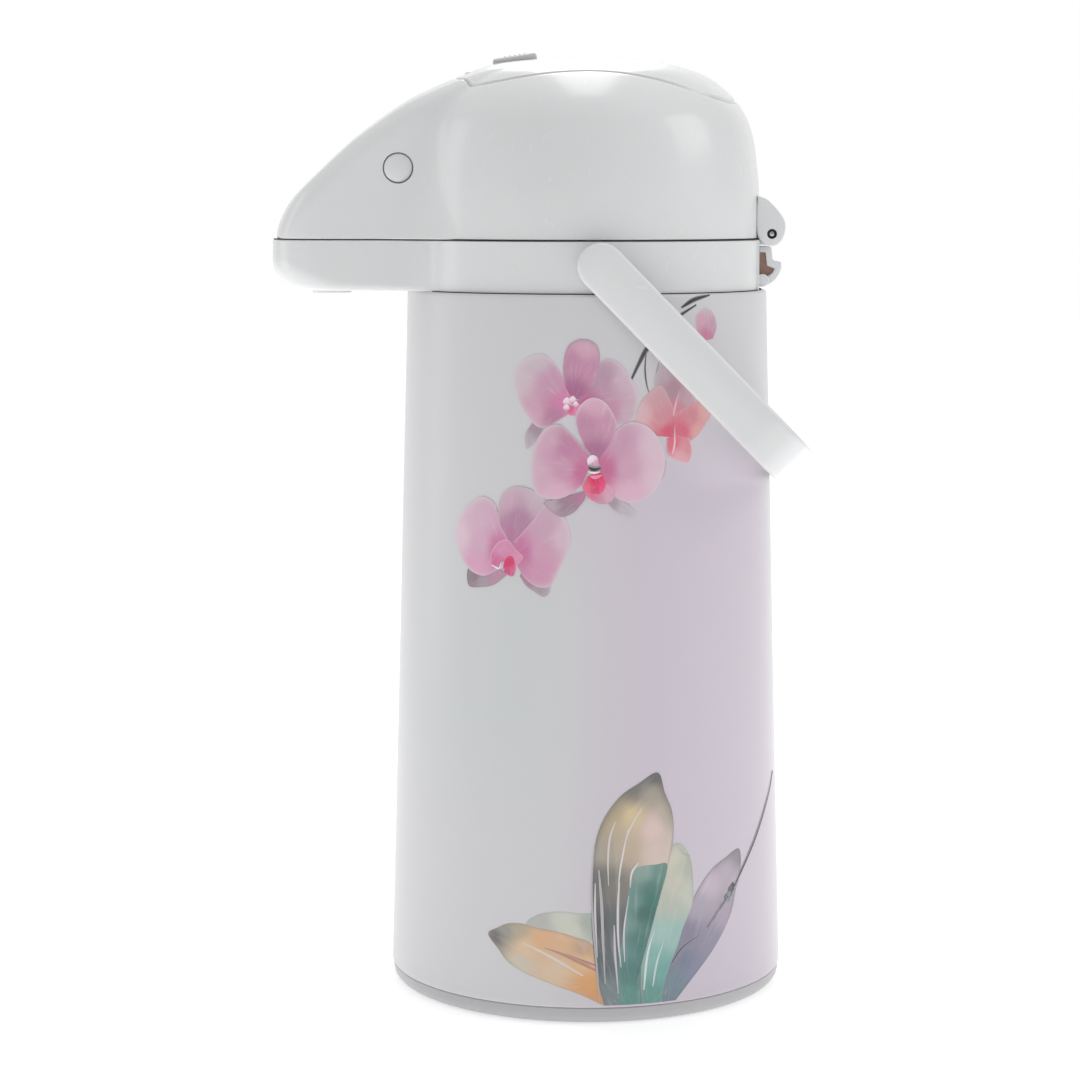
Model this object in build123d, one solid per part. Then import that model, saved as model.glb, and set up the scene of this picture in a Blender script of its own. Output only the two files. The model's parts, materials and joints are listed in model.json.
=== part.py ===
from build123d import *
from math import cos, radians, sin
import os

os.makedirs("parts", exist_ok=True)

# Vacuum pump pot. +Z up, spout towards -Y, hinge towards +Y, x = 0 is the mirror plane.
# The origin is on the body axis, on the surface that the pot stands on. Millimetres.

# Body
FOOT_R = 77.0
WAIST_R = 73.2
WAIST_Z = 140.0
SHOULDER_R = 69.5
SHELL_LOW_Z = 6.5
SHELL_TOP_Z = 271.5
SHELL_WALL = 0.6
FOOT_ROUND = 4.8

# Vacuum flask
OUTER_GLASS_R = 65.0
INNER_GLASS_R = 60.5
GLASS_WALL = 1.4
OUTER_NECK_R = 36.0
INNER_NECK_R = 31.6
OUTER_SHOULDER_DROP = 9.0
INNER_SHOULDER_DROP = 15.0
FLASK_TOP_Z = 262.0

# Collar and lid
COLLAR_R = 67.2
COLLAR_WALL = 2.2
COLLAR_TOP_Z = 290.8
DECK_Z = 267.0
LID_R = 66.4
LID_WALL = 2.4
LID_LOW_Z = 291.2
LID_TOP_Z = 360.0

# Nose that carries the spout
NOSE_TIP_Y = -121.8
NOSE_TIP_R = 23.3
NOSE_ROOT_W = 27.2
NOSE_ROOT_Y = -60.0
NOSE_UNDER_Z = 271.5

# Outlet
PIPE_Z = 278.6
PIPE_R = 4.5
PIPE_BORE = 3.2
OUTLET_Y = -99.0
TUBE_R = 4.0
TUBE_BORE = 3.0
NOZZLE_R = 6.2
NOZZLE_RIM_R = 7.5
NOZZLE_LOW_Z = 270.3
NOZZLE_TOP_Z = 273.7

# Press plate and bellows
PLATE_Y = 3.0
PLATE_HALF_L = 54.0
PLATE_HALF_W = 45.0
PLATE_POWER = 2.6
PLATE_GAP = 0.45
SKIRT_LOW_Z = 327.5
GUIDE_LOW_Z = 330.0
BELLOWS_LOW_Z = 297.0
BELLOWS_TOP_Z = 345.0
BELLOWS_R = 41.0
BELLOWS_NECK_R = 35.0
BELLOWS_WALL = 1.2
BELLOWS_CAP_T = 2.5
VENT_R = 7.0
SPRING_R = 26.0
SPRING_WIRE_R = 0.9

# Lid hinge and detaching lever
HINGE_Y = 70.5
HINGE_Z = 293.0
HINGE_PIN_R = 1.5
KNUCKLE_HALF_W = 9.0
KNUCKLE_R = 4.4
EAR_IN_X = 9.5
EAR_OUT_X = 16.0
EAR_R = 4.6
LEVER_Y = 67.4
LEVER_Z = 275.2
LEVER_PIN_R = 1.0
LEVER_HALF_W = 9.0
LEVER_WEB = 1.2
LUG_R = 2.4

# Carrying handle
HANDLE_Y = 4.0
HANDLE_Z = 281.9
HANDLE_DROP = 45.7
STRAP_W = 17.3
STRAP_T = 6.0
ARM_IN_X = 71.2
ARM_LENGTH = 86.0
BAR_IN_U = 105.6
BAR_T = 5.0
STUD_R = 3.0
BOSS_R = 7.5
CLIP_IN_X = 62.0

# Release buttons
BUTTON_Y = -71.8
BUTTON_Z = 317.9
BUTTON_R = 5.5
BUTTON_FACE_X = 26.1
LATCH_OUT_X = 21.2
LATCH_T = 2.7
LATCH_HALF_W = 4.2
CATCH_LOW_Z = 284.6
CATCH_TOP_Z = 287.0

# Lock knob, on a track that follows the slope of the press plate
TRACK_Y = -31.5
TRACK_Z = 356.6
TRACK_SLOPE = 9.0

# Screws that hold the lid's closing plate: (x, y, boss radius, boss top)
LID_SCREWS = ((41, 45, 4.5, 302), (-41, 45, 4.5, 302), (14, -99, 3.6, 318), (-14, -99, 3.6, 318))
SCREW_R = 1.5
SCREW_HEAD_R = 2.8
CLOSING_LOW_Z = 292.0
CLOSING_TOP_Z = 294.5

# Filling mouth and stopper
MOUTH_R = 34.0
DECK_IN_R = 41.0
DECK_T = 2.5
STOPPER_LOW_Z = 288.0
VALVE_STEM_R = 2.0

RUN = 0.05
FAR = 400.0
SIDES = (("left", -1), ("right", 1))


def turned(*outline):
    """Solid of revolution about Z from an (r, z) outline."""
    face = make_face(Polyline(*outline, close=True))
    return revolve(Plane.XZ * face, Axis.Z)


def ring(inner_r, outer_r, low_z, high_z):
    return turned((inner_r, low_z), (outer_r, low_z), (outer_r, high_z), (inner_r, high_z))


def post(x, y, radius, low_z, high_z):
    base = Pos(x, y, low_z) * Circle(radius)
    return extrude(base, high_z - low_z, dir=(0, 0, 1))


def rod_x(y, z, radius, low_x, high_x):
    """Round bar along X."""
    disc = Plane(origin=(low_x, y, z), x_dir=(0, 1, 0), z_dir=(1, 0, 0)) * Circle(radius)
    return extrude(disc, high_x - low_x, dir=(1, 0, 0))


def block(low, high):
    size = [b - a for a, b in zip(low, high)]
    return Pos(*low) * Box(*size, align=(Align.MIN, Align.MIN, Align.MIN))


def side_block(side, near, far):
    """Block given by its corners on the right-hand side, on either side of x = 0."""
    low_x, high_x = sorted((side * near[0], side * far[0]))
    return block((low_x, *near[1:]), (high_x, *far[1:]))


def side_rod(side, y, z, radius, near_x, far_x):
    return rod_x(y, z, radius, *sorted((side * near_x, side * far_x)))


def side_plate(curve_edges, half_width):
    """Face in the (y, z) plane, thickened evenly to both sides of x = 0."""
    face = Plane.YZ * make_face(curve_edges)
    return extrude(face, half_width, dir=(1, 0, 0), both=True)


def coil(radius, wire_r, low_z, high_z, turns):
    pitch = (high_z - low_z) / turns
    path = Pos(0, 0, low_z) * Helix(pitch, high_z - low_z, radius)
    section = Plane(path @ 0, z_dir=path % 0) * Circle(wire_r)
    return sweep(section, path=path, is_frenet=True)


# --- Body -----------------------------------------------------------------------------------


def shell_radius(z):
    if z < WAIST_Z:
        part = (z - SHELL_LOW_Z) / (WAIST_Z - SHELL_LOW_Z)
        return FOOT_R + (WAIST_R - FOOT_R) * part
    part = (z - WAIST_Z) / (SHELL_TOP_Z - WAIST_Z)
    return WAIST_R + (SHOULDER_R - WAIST_R) * part


def outer_shell():
    """Thin tapered steel jacket with its two edges turned inwards."""
    lip = SHELL_WALL
    inner_foot = FOOT_R - SHELL_WALL
    inner_top = SHOULDER_R - SHELL_WALL
    return turned(
        (FOOT_R - 2.6, SHELL_LOW_Z),
        (FOOT_R, SHELL_LOW_Z),
        (WAIST_R, WAIST_Z),
        (SHOULDER_R, SHELL_TOP_Z - 0.8),
        (SHOULDER_R - 0.8, SHELL_TOP_Z),
        (COLLAR_R + 0.02, SHELL_TOP_Z),
        (COLLAR_R + 0.02, SHELL_TOP_Z - lip),
        (inner_top - 0.4, SHELL_TOP_Z - lip),
        (inner_top, SHELL_TOP_Z - lip - 0.4),
        (WAIST_R - SHELL_WALL, WAIST_Z),
        (inner_foot, SHELL_LOW_Z + lip),
        (FOOT_R - 2.6, SHELL_LOW_Z + lip),
    )


def base_ring():
    """Rounded foot: the pot stands on its flat lower face."""
    rim_r = FOOT_R - 0.5
    face_out_r = rim_r - FOOT_ROUND
    middle = FOOT_ROUND * sin(radians(45))
    lines = [
        Line((66.0, 0), (face_out_r, 0)),
        ThreePointArc(
            (face_out_r, 0),
            (face_out_r + middle, FOOT_ROUND - middle),
            (rim_r, FOOT_ROUND),
        ),
        Polyline(
            (rim_r, FOOT_ROUND),
            (rim_r, SHELL_LOW_Z),
            (FOOT_R - 3.2, SHELL_LOW_Z),
            (FOOT_R - 3.2, 15.0),
            (70.0, 15.0),
            (70.0, 9.0),
            (66.0, 9.0),
            (66.0, 0),
        ),
    ]
    return revolve(Plane.XZ * make_face(lines), Axis.Z)


def base_cap():
    """Screwed disc that holds the flask up, with two finger hollows in its underside."""
    disc = ring(0, 65.8, 3.0, 6.5) + ring(40.5, 43.5, 6.5, 14.0)
    for side in (-1, 1):
        hollow = Pos(0, side * 38, 3.0) * Box(36, 12, 3.6)
        disc -= hollow
    return disc


def liner_cushion():
    return turned((14, 6.5), (38, 6.5), (38, 27.9), (14, 22.0))


def flask_form(radius, low_z, neck_r, drop, inset):
    """Solid bottle shape: elliptical bottom, straight wall, curved shoulder and neck."""
    wall_r = radius - inset
    bottom_h = 0.6 * radius
    low = low_z + inset
    wall_z = low_z + bottom_h
    shoulder_z = 205.0
    neck_z = FLASK_TOP_Z - 14.0
    lines = [
        EllipticalCenterArc((0, wall_z), wall_r, wall_z - low, start_angle=270, arc_size=90),
        Line((wall_r, wall_z), (wall_r, shoulder_z)),
        Spline(
            (wall_r, shoulder_z),
            (0.5 * (radius + neck_r) - 0.6 * inset, neck_z - drop - 0.8 * inset),
            (neck_r - inset, neck_z),
            tangents=((0, 1), (0, 1)),
        ),
        Polyline((neck_r - inset, neck_z), (neck_r - inset, FLASK_TOP_Z), (0, FLASK_TOP_Z), (0, low)),
    ]
    return revolve(Plane.XZ * make_face(lines), Axis.Z)


def glass_outer_bottle():
    low_z = 22.0
    outside = flask_form(OUTER_GLASS_R, low_z, OUTER_NECK_R, OUTER_SHOULDER_DROP, 0)
    return outside - flask_form(OUTER_GLASS_R, low_z, OUTER_NECK_R, OUTER_SHOULDER_DROP, GLASS_WALL)


def glass_inner_bottle():
    """Inner wall of the flask, with the rolled lip that closes the vacuum space."""
    low_z = 29.0
    outside = flask_form(INNER_GLASS_R, low_z, INNER_NECK_R, INNER_SHOULDER_DROP, 0)
    wall = outside - flask_form(INNER_GLASS_R, low_z, INNER_NECK_R, INNER_SHOULDER_DROP, GLASS_WALL)
    return wall + ring(INNER_NECK_R - GLASS_WALL, OUTER_NECK_R, FLASK_TOP_Z, FLASK_TOP_Z + 2.5)


def liner_spacers():
    """Small pads that keep the two glass walls apart."""
    pads = []
    gap_in = INNER_GLASS_R + 0.1
    gap_out = OUTER_GLASS_R - GLASS_WALL - 0.1
    for angle in (30, 150, 270):
        pad = Rot(0, 0, angle) * block((gap_in, -4, 110), (gap_out, 4, 120))
        band = ring(gap_in + 0.1, gap_out - 0.1, 100, 130)
        pads.append(pad & band)
    return Compound(children=[p.solids()[0] for p in pads])


def neck_gasket():
    return ring(INNER_NECK_R - 1.0, OUTER_NECK_R + 1.5, FLASK_TOP_Z + 2.5, DECK_Z)


# --- Nose and lid forms ---------------------------------------------------------------------


def nose_plan(inset):
    """Outline of the nose from above: tapering sides, round tip, fading into the dome."""
    tip_r = NOSE_TIP_R - inset
    tip_y = NOSE_TIP_Y + NOSE_TIP_R
    root_w = NOSE_ROOT_W - inset
    lines = [
        Line((-root_w, NOSE_ROOT_Y), (-tip_r, tip_y)),
        ThreePointArc((-tip_r, tip_y), (0, NOSE_TIP_Y + inset), (tip_r, tip_y)),
        Line((tip_r, tip_y), (root_w, NOSE_ROOT_Y)),
        ThreePointArc((root_w, NOSE_ROOT_Y), (0, NOSE_ROOT_Y + 34), (-root_w, NOSE_ROOT_Y)),
    ]
    return make_face(lines)


def nose_column(inset, low_z, high_z):
    base = Pos(0, 0, low_z) * nose_plan(inset)
    return extrude(base, high_z - low_z, dir=(0, 0, 1))


def lid_nose(inset):
    """Upper nose: a slope seen from the side, trimmed by the outline seen from above."""
    low_z = LID_LOW_Z - 12
    ridge = (
        (-121.8, 291.2, 0),
        (-116.2, 302.8, -34),
        (-96.7, 323.5, -48),
        (-70.7, 343.0, -60),
        (-48.6, 353.3, -70),
        (-27.0, 358.9, -82),
        (-12.0, 359.7, -88),
    )
    points = [
        (y + inset * cos(radians(inward)), z + inset * sin(radians(inward))) for y, z, inward in ridge
    ]
    slope = Spline(*points, tangents=((0.02, 1), (1, 0.03)))
    rest = Polyline(points[-1], (points[-1][0], low_z), (points[0][0], low_z), points[0])
    side = make_face([slope, rest])
    wedge = extrude(Plane.YZ * side, 40, dir=(1, 0, 0), both=True)
    return wedge & nose_column(inset, low_z - 5, LID_TOP_Z + 5)


def dome(inset):
    """Round part of the lid."""
    low_z = LID_LOW_Z - 12
    wall = LID_R - inset
    lines = [
        Line((wall, low_z), (wall, 308)),
        Spline(
            (wall, 308),
            (64.4 - inset, 328.0 - 0.2 * inset),
            (60.4 - 0.85 * inset, 339.0 - 0.6 * inset),
            (52.6 - 0.6 * inset, 348.3 - 0.8 * inset),
            (41.5 - 0.3 * inset, 354.8 - inset),
            (0, LID_TOP_Z - inset),
            tangents=((0, 1), (-1, 0)),
        ),
        Polyline((0, LID_TOP_Z - inset), (0, low_z), (wall, low_z)),
    ]
    return revolve(Plane.XZ * make_face(lines), Axis.Z)


def lid_form(inset):
    nose = lid_nose(inset)
    if not inset:
        top_edges = [e for e in nose.edges() if e.center().Z > 300 and e.center().Y < -50]
        sloped = [e for e in top_edges if abs(e.center().X) > 3 and e.bounding_box().size.Z < 60]
        nose = fillet(sloped, 5.0)
    return dome(inset) + nose


def oval_point(angle, grow):
    c, s = cos(radians(angle)), sin(radians(angle))
    scale = (abs(c) ** PLATE_POWER + abs(s) ** PLATE_POWER) ** (-1 / PLATE_POWER)
    return ((PLATE_HALF_W + grow) * c * scale, PLATE_Y + (PLATE_HALF_L + grow) * s * scale)


def oval(grow):
    """Rounded oblong of the press plate, in plan."""
    quarters = []
    headings = ((0, 1), (-1, 0), (0, -1), (1, 0), (0, 1))
    for quarter in range(4):
        points = [oval_point(90 * quarter + 22.5 * step, grow) for step in range(5)]
        quarters.append(Spline(*points, tangents=(headings[quarter], headings[quarter + 1])))
    return make_face(quarters)


def oval_column(grow, low_z, high_z):
    return extrude(Pos(0, 0, low_z) * oval(grow), high_z - low_z, dir=(0, 0, 1))


def above(z):
    return block((-FAR, -FAR, z), (FAR, FAR, FAR))


# --- Collar ---------------------------------------------------------------------------------


def collar_nose(inset):
    """Lower nose under the seam, with a rounded chin."""
    top_z = COLLAR_TOP_Z + (5 if inset else 0)
    under = NOSE_UNDER_Z + inset
    chin = Spline(
        (-121.8 + inset, 286.6),
        (-118.0 + 0.7 * inset, 277.3 + 0.7 * inset),
        (-103.7, under),
        tangents=((0, -1), (1, 0)),
    )
    rest = Polyline(
        (-103.7, under), (-20, under), (-20, top_z), (-121.8 + inset, top_z), (-121.8 + inset, 286.6)
    )
    side = Plane.YZ * make_face([chin, rest])
    wedge = extrude(side, 40, dir=(1, 0, 0), both=True)
    return wedge & nose_column(inset, under - 1, top_z + 1)


def collar():
    """Plastic shoulder: round wall, deck, lower nose, hinge knuckle and handle bosses."""
    wall = ring(0, COLLAR_R, DECK_Z - 5, COLLAR_TOP_Z) + collar_nose(0)
    for _, side in SIDES:
        wall += side_rod(side, HANDLE_Y, HANDLE_Z, BOSS_R, 60, ARM_IN_X - 0.5)
    hollow = ring(0, COLLAR_R - COLLAR_WALL, DECK_Z + DECK_T, FAR)
    hollow += ring(0, COLLAR_R - COLLAR_WALL, DECK_Z - 10, DECK_Z)
    hollow += collar_nose(COLLAR_WALL)
    hollow += ring(0, DECK_IN_R, DECK_Z - 10, FAR)
    body = wall - hollow
    body += block((-19, 61.5, DECK_Z), (19, 65.6, COLLAR_TOP_Z))
    body -= block((-18, 65.4, SHELL_TOP_Z), (18, FAR, FAR))
    body += hinge_knuckle()
    body += lever_lugs()
    for _, side in SIDES:
        body -= side_rod(side, HANDLE_Y, HANDLE_Z, STUD_R + RUN, 55, 75)
        body += latch_catch(side)
    body -= post(0, OUTLET_Y, NOZZLE_R, 260, 280)
    return body


def hinge_knuckle():
    web = Polyline(
        (62, 288.8), (HINGE_Y, HINGE_Z - KNUCKLE_R), (66.2, HINGE_Z), (66.2, COLLAR_TOP_Z),
        (62, COLLAR_TOP_Z), close=True,
    )
    knuckle = side_plate(web, KNUCKLE_HALF_W)
    knuckle += rod_x(HINGE_Y, HINGE_Z, KNUCKLE_R, -KNUCKLE_HALF_W, KNUCKLE_HALF_W)
    return knuckle - rod_x(HINGE_Y, HINGE_Z, HINGE_PIN_R, -20, 20)


def lever_lugs():
    """Two small lugs that carry the lever's pin."""
    near, far = LEVER_HALF_W + 0.4, LEVER_HALF_W + 3.0
    lugs = None
    for _, side in SIDES:
        lug = side_rod(side, LEVER_Y, LEVER_Z, LUG_R, near, far)
        lug += side_block(side, (near, 63, LEVER_Z - LUG_R), (far, LEVER_Y, LEVER_Z + LUG_R))
        lug -= side_rod(side, LEVER_Y, LEVER_Z, LEVER_PIN_R, near, far)
        lugs = lug if lugs is None else lugs + lug
    return lugs


def latch_catch(side):
    """Ledge inside the nose wall that a latch hook takes hold of."""
    near = (LATCH_OUT_X + 0.3, BUTTON_Y - 5, CATCH_LOW_Z)
    return side_block(side, near, (25.0, BUTTON_Y + 5, CATCH_TOP_Z))


def mouth_ring():
    """Filling mouth above the flask, with a port for the outlet pipe."""
    ledge_z = 270.5
    body = ring(MOUTH_R, DECK_IN_R, DECK_Z, 285.0)
    body += ring(31.0, MOUTH_R, DECK_Z, ledge_z)
    body += ring(DECK_IN_R, DECK_IN_R + 5, DECK_Z + DECK_T, DECK_Z + DECK_T + 2)
    port = Plane(origin=(0, -30, PIPE_Z), x_dir=(1, 0, 0), z_dir=(0, -1, 0)) * Circle(PIPE_R)
    return body - extrude(port, 20, dir=(0, -1, 0))


# --- Liquid path ----------------------------------------------------------------------------


def tube_holder():
    """Hub that turns the rising tube into the outlet pipe, on three open spokes."""
    hub = post(0, 0, 9.0, 270.5, 284.0)
    hub += ring(31.0, 33.9, 270.5, 273.0)
    for angle in (90, 210, 330):
        hub += Rot(0, 0, angle) * block((8, -2, 270.5), (32, 2, 273.5))
    hub -= post(0, 0, TUBE_R, 270.0, 274.0)
    hub -= post(0, 0, PIPE_BORE, 273.0, PIPE_Z)
    elbow = Plane(origin=(0, 0, PIPE_Z), x_dir=(1, 0, 0), z_dir=(0, -1, 0))
    hub -= extrude(elbow * Circle(PIPE_BORE), 12, dir=(0, -1, 0))
    return hub - extrude(elbow.offset(5) * Circle(PIPE_R), 12, dir=(0, -1, 0))


def siphon_tube():
    return ring(TUBE_BORE, TUBE_R, 36.0, 274.0)


def tube_foot():
    """Notched end piece that stays open when it nears the flask's bottom."""
    foot = ring(TUBE_R, 5.4, 33.0, 44.0)
    for angle in (0, 60, 120):
        foot -= Rot(0, 0, angle) * Pos(0, 0, 33.0) * Box(20, 2.4, 5.0)
    return foot


def outlet_pipe():
    """Level pipe that turns down over the nozzle."""
    bend = PIPE_Z - NOZZLE_TOP_Z
    half = bend * (1 - sin(radians(45)))
    start = (0, -5, PIPE_Z)
    turn = (0, OUTLET_Y + bend, PIPE_Z)
    middle = (0, OUTLET_Y + half, PIPE_Z - half)
    end = (0, OUTLET_Y, PIPE_Z - bend)
    path = Wire([Edge.make_line(start, turn), Edge.make_three_point_arc(turn, middle, end)])
    start_plane = Plane(origin=start, x_dir=(1, 0, 0), z_dir=(0, -1, 0))
    outside = sweep(start_plane * Circle(PIPE_R), path=path)
    return outside - sweep(start_plane * Circle(PIPE_BORE), path=path)


def nozzle():
    """Push-in ring that ends the pipe under the nose."""
    body = ring(PIPE_R, NOZZLE_R, NOZZLE_LOW_Z, NOZZLE_TOP_Z)
    body += ring(PIPE_R, NOZZLE_RIM_R, NOZZLE_LOW_Z, NOSE_UNDER_Z)
    return Pos(0, OUTLET_Y, 0) * body


# --- Lid ------------------------------------------------------------------------------------


def ear():
    """Rear lug of the lid that turns about the hinge pin."""
    outline = Polyline(
        (64.5, 293.0), (66.0, 289.6), (HINGE_Y, HINGE_Z - 4), (HINGE_Y + 4.2, HINGE_Z - 1),
        (75.6, 296.9), (73.4, 301.6), (70.4, 304.5), (65.0, 307.9), close=True,
    )
    plate = Plane.YZ * make_face(outline)
    lug = Pos(EAR_IN_X, 0, 0) * extrude(plate, EAR_OUT_X - EAR_IN_X, dir=(1, 0, 0))
    return lug + rod_x(HINGE_Y, HINGE_Z, EAR_R, EAR_IN_X, EAR_OUT_X)


def lid_cover():
    """Moulded top: dome and nose, with the opening and guide wall for the press plate."""
    outside = lid_form(0)
    inside = lid_form(LID_WALL)
    body = (outside - inside) & above(LID_LOW_Z)
    guide = oval_column(2.0, GUIDE_LOW_Z, FAR) & outside
    body += guide
    for x, y, radius, top_z in LID_SCREWS:
        body += post(x, y, radius, CLOSING_TOP_Z, top_z) & outside
    body -= oval_column(0, 300, FAR)
    body -= block((-EAR_IN_X, 55, 280), (EAR_IN_X, 80, 299))
    lug = ear()
    body += lug
    body += mirror(lug, Plane.YZ)
    body -= rod_x(HINGE_Y, HINGE_Z, HINGE_PIN_R + RUN, -20, 20)
    for _, side in SIDES:
        body -= side_rod(side, BUTTON_Y, BUTTON_Z, BUTTON_R + 0.35, 20, 30)
    for x, y, _, _ in LID_SCREWS:
        body -= post(x, y, SCREW_R, 290, 301)
    return body


def lid_base():
    """Closing plate of the lid, with the stopper collar and the latches' centre rib."""
    slab = lid_form(LID_WALL) & block((-FAR, -FAR, CLOSING_LOW_Z), (FAR, FAR, CLOSING_TOP_Z))
    slab -= ring(61.5, 70, 290, 300) & block((-60, 0, 290), (60, 80, 300))
    slab += ring(33.0, 44.0, STOPPER_LOW_Z, CLOSING_LOW_Z)
    slab += block((-2, BUTTON_Y - 5.2, 294), (2, BUTTON_Y + 4.8, 326))
    slab -= post(0, 0, VALVE_STEM_R, 285, 300)
    for angle in range(0, 360, 60):
        spot = Rot(0, 0, angle) * Pos(6, 0, 0)
        slab -= spot * post(0, 0, 1.6, 285, 300)
    for _, side in SIDES:
        slab -= side_block(side, (15.0, BUTTON_Y - 4.8, 285), (21.7, BUTTON_Y + 4.8, 300))
    for x, y, _, _ in LID_SCREWS:
        slab -= post(x, y, SCREW_R, 285, 300)
    return slab


def lid_gasket():
    return ring(34.5, 42.0, 285.2, STOPPER_LOW_Z)


def air_valve():
    """Rubber umbrella that lets air down into the flask and not back."""
    umbrella = ring(0, 10.0, CLOSING_LOW_Z - 1.2, CLOSING_LOW_Z)
    return umbrella + post(0, 0, VALVE_STEM_R, CLOSING_LOW_Z, CLOSING_TOP_Z + 1.0)


def lid_screws():
    """Slotted screws, driven from below."""
    head_z = CLOSING_LOW_Z - 1.6
    screws = []
    for x, y, _, _ in LID_SCREWS:
        screw = post(x, y, SCREW_R, CLOSING_LOW_Z, 300.5)
        screw += post(x, y, SCREW_HEAD_R, head_z, CLOSING_LOW_Z)
        screw -= Pos(x, y, head_z) * Box(4.0, 0.8, 1.6)
        screws.append(screw.solids()[0])
    return Compound(children=screws)


def bellows_seat():
    return ring(BELLOWS_NECK_R, BELLOWS_R + 1.0, CLOSING_TOP_Z, BELLOWS_LOW_Z)


def bellows():
    """Corrugated air pump wall."""
    folds = 6
    step = (BELLOWS_TOP_Z - BELLOWS_LOW_Z) / folds
    level_wall = BELLOWS_WALL * 1.5
    outside = [(BELLOWS_R, BELLOWS_LOW_Z)]
    for fold in range(folds):
        low = BELLOWS_LOW_Z + fold * step
        outside.append((BELLOWS_NECK_R, low + step / 2))
        outside.append((BELLOWS_R, low + step))
    inside = [(r - level_wall, z) for r, z in outside]
    return turned(*outside, *reversed(inside))


def bellows_spring():
    return coil(SPRING_R, SPRING_WIRE_R, BELLOWS_LOW_Z - 1.4, BELLOWS_TOP_Z - 1.2, 6)


# --- Press plate and lock -------------------------------------------------------------------


def track():
    slope = radians(TRACK_SLOPE)
    return Plane(origin=(0, TRACK_Y, TRACK_Z), x_dir=(1, 0, 0), z_dir=(0, -sin(slope), cos(slope)))


def on_track(low, high):
    return track() * block(low, high)


def press_plate():
    """Oval plate that follows the dome, with its skirt, stop flange and push boss."""
    outside = lid_form(0)
    inside = lid_form(LID_WALL)
    plug = outside & oval_column(-PLATE_GAP, SKIRT_LOW_Z, FAR)
    core = inside & oval_column(-PLATE_GAP - 2.0, SKIRT_LOW_Z - 10, FAR)
    body = plug - core
    body += oval_column(1.2, SKIRT_LOW_Z, SKIRT_LOW_Z + 2) - oval_column(-2.4, 300, FAR)
    body += ring(8.0, 12.0, BELLOWS_TOP_Z + BELLOWS_CAP_T, LID_TOP_Z - 1.5)
    body += on_track((-9.5, -16, -2.2), (9.5, 16, 0.6)) & outside
    body -= on_track((-7.8, -14, 0), (7.8, 14, 12))
    return body - on_track((-3.2, -7.6, -6), (3.2, 7.6, 2))


def lock_knob():
    """Sliding button with a ribbed top, a stem through the plate and a tongue under it."""
    top = on_track((-6.5, -4.5, 0.2), (6.5, 12.5, 3.9))
    round_edges = [e for e in top.edges() if e.center().Z > TRACK_Z + 1.5]
    top = fillet(round_edges, 1.2)
    for row in range(4):
        y = 0.4 + 2.4 * row
        top -= on_track((-4.6, y, 3.5), (4.6, y + 1.0, 5))
    top += on_track((-2.7, 1.2, -3.2), (2.7, 6.8, 0.4))
    return top + on_track((-6, -7, -5.0), (6, 7, -2.7))


def bellows_cap():
    return ring(VENT_R, BELLOWS_R, BELLOWS_TOP_Z, BELLOWS_TOP_Z + BELLOWS_CAP_T)


def vent_valve():
    """Plug in the bellows cap that lets air back in as the plate rises."""
    plug = post(0, 0, VENT_R, BELLOWS_TOP_Z, BELLOWS_TOP_Z + BELLOWS_CAP_T)
    return plug + post(0, 0, VENT_R + 2.0, BELLOWS_TOP_Z - 1.6, BELLOWS_TOP_Z)


# --- Release buttons ------------------------------------------------------------------------


def release_button(side):
    """Slightly domed round button with an inner flange."""
    flange_x = 22.9
    face = side_rod(side, BUTTON_Y, BUTTON_Z, BUTTON_R, flange_x, BUTTON_FACE_X)
    rim = [e for e in face.edges() if abs(e.center().X) > BUTTON_FACE_X - 0.1]
    face = fillet(rim, 0.8)
    return face + side_rod(side, BUTTON_Y, BUTTON_Z, BUTTON_R + 1.2, LATCH_OUT_X, flange_x)


def latch(side):
    """Flat arm that a button pushes inwards, with a hook at its foot."""
    inner_x = LATCH_OUT_X - LATCH_T
    hook_top_z = CATCH_LOW_Z - 0.3
    back_y, front_y = BUTTON_Y - LATCH_HALF_W, BUTTON_Y + LATCH_HALF_W
    arm = side_block(side, (inner_x, back_y, hook_top_z), (LATCH_OUT_X, front_y, 324.0))
    return arm + side_block(side, (inner_x - 2.0, back_y, 280.5), (LATCH_OUT_X, front_y, hook_top_z))


def latch_spring(side):
    """Coil between a latch and the centre rib."""
    length = LATCH_OUT_X - LATCH_T - 2.0
    spring = coil(3.4, 0.45, 0.6, length - 0.6, 6)
    return Pos(side * 2.0, BUTTON_Y, BUTTON_Z) * Rot(0, side * 90, 0) * spring


# --- Hinge and lever ------------------------------------------------------------------------


def hinge_pin():
    return rod_x(HINGE_Y, HINGE_Z, HINGE_PIN_R, -EAR_OUT_X + 0.4, EAR_OUT_X - 0.4)


def detach_lever():
    """Hollow-sided loop with a middle web, pulled back to free the lid from its hinge."""
    rim = Polyline(
        (66.4, 285.9), (66.4, 288.2), (70.9, 288.0), (71.3, 283.4), (74.7, 282.3), (74.8, 280.0),
        (74.0, 277.4), (72.0, 274.6), (69.4, 273.2), (67.0, 272.8), (65.9, 274.0), (65.9, 276.6),
        (67.4, 277.4), (69.4, 276.8), (71.3, 277.9), (72.2, 279.6), (69.0, 280.8), (68.6, 285.9),
        close=True,
    )
    web = Polyline(
        (66.4, 287.0), (69.5, 287.0), (70.2, 281.5), (73.4, 280.6), (71.8, 276.5), (66.4, 275.5),
        close=True,
    )
    loop = side_plate(rim, LEVER_HALF_W) + side_plate(web, LEVER_WEB)
    return loop - rod_x(LEVER_Y, LEVER_Z, LEVER_PIN_R + RUN, -20, 20)


def lever_pin():
    reach = LEVER_HALF_W + 3.0
    return rod_x(LEVER_Y, LEVER_Z, LEVER_PIN_R, -reach, reach)


# --- Handle ---------------------------------------------------------------------------------


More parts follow.
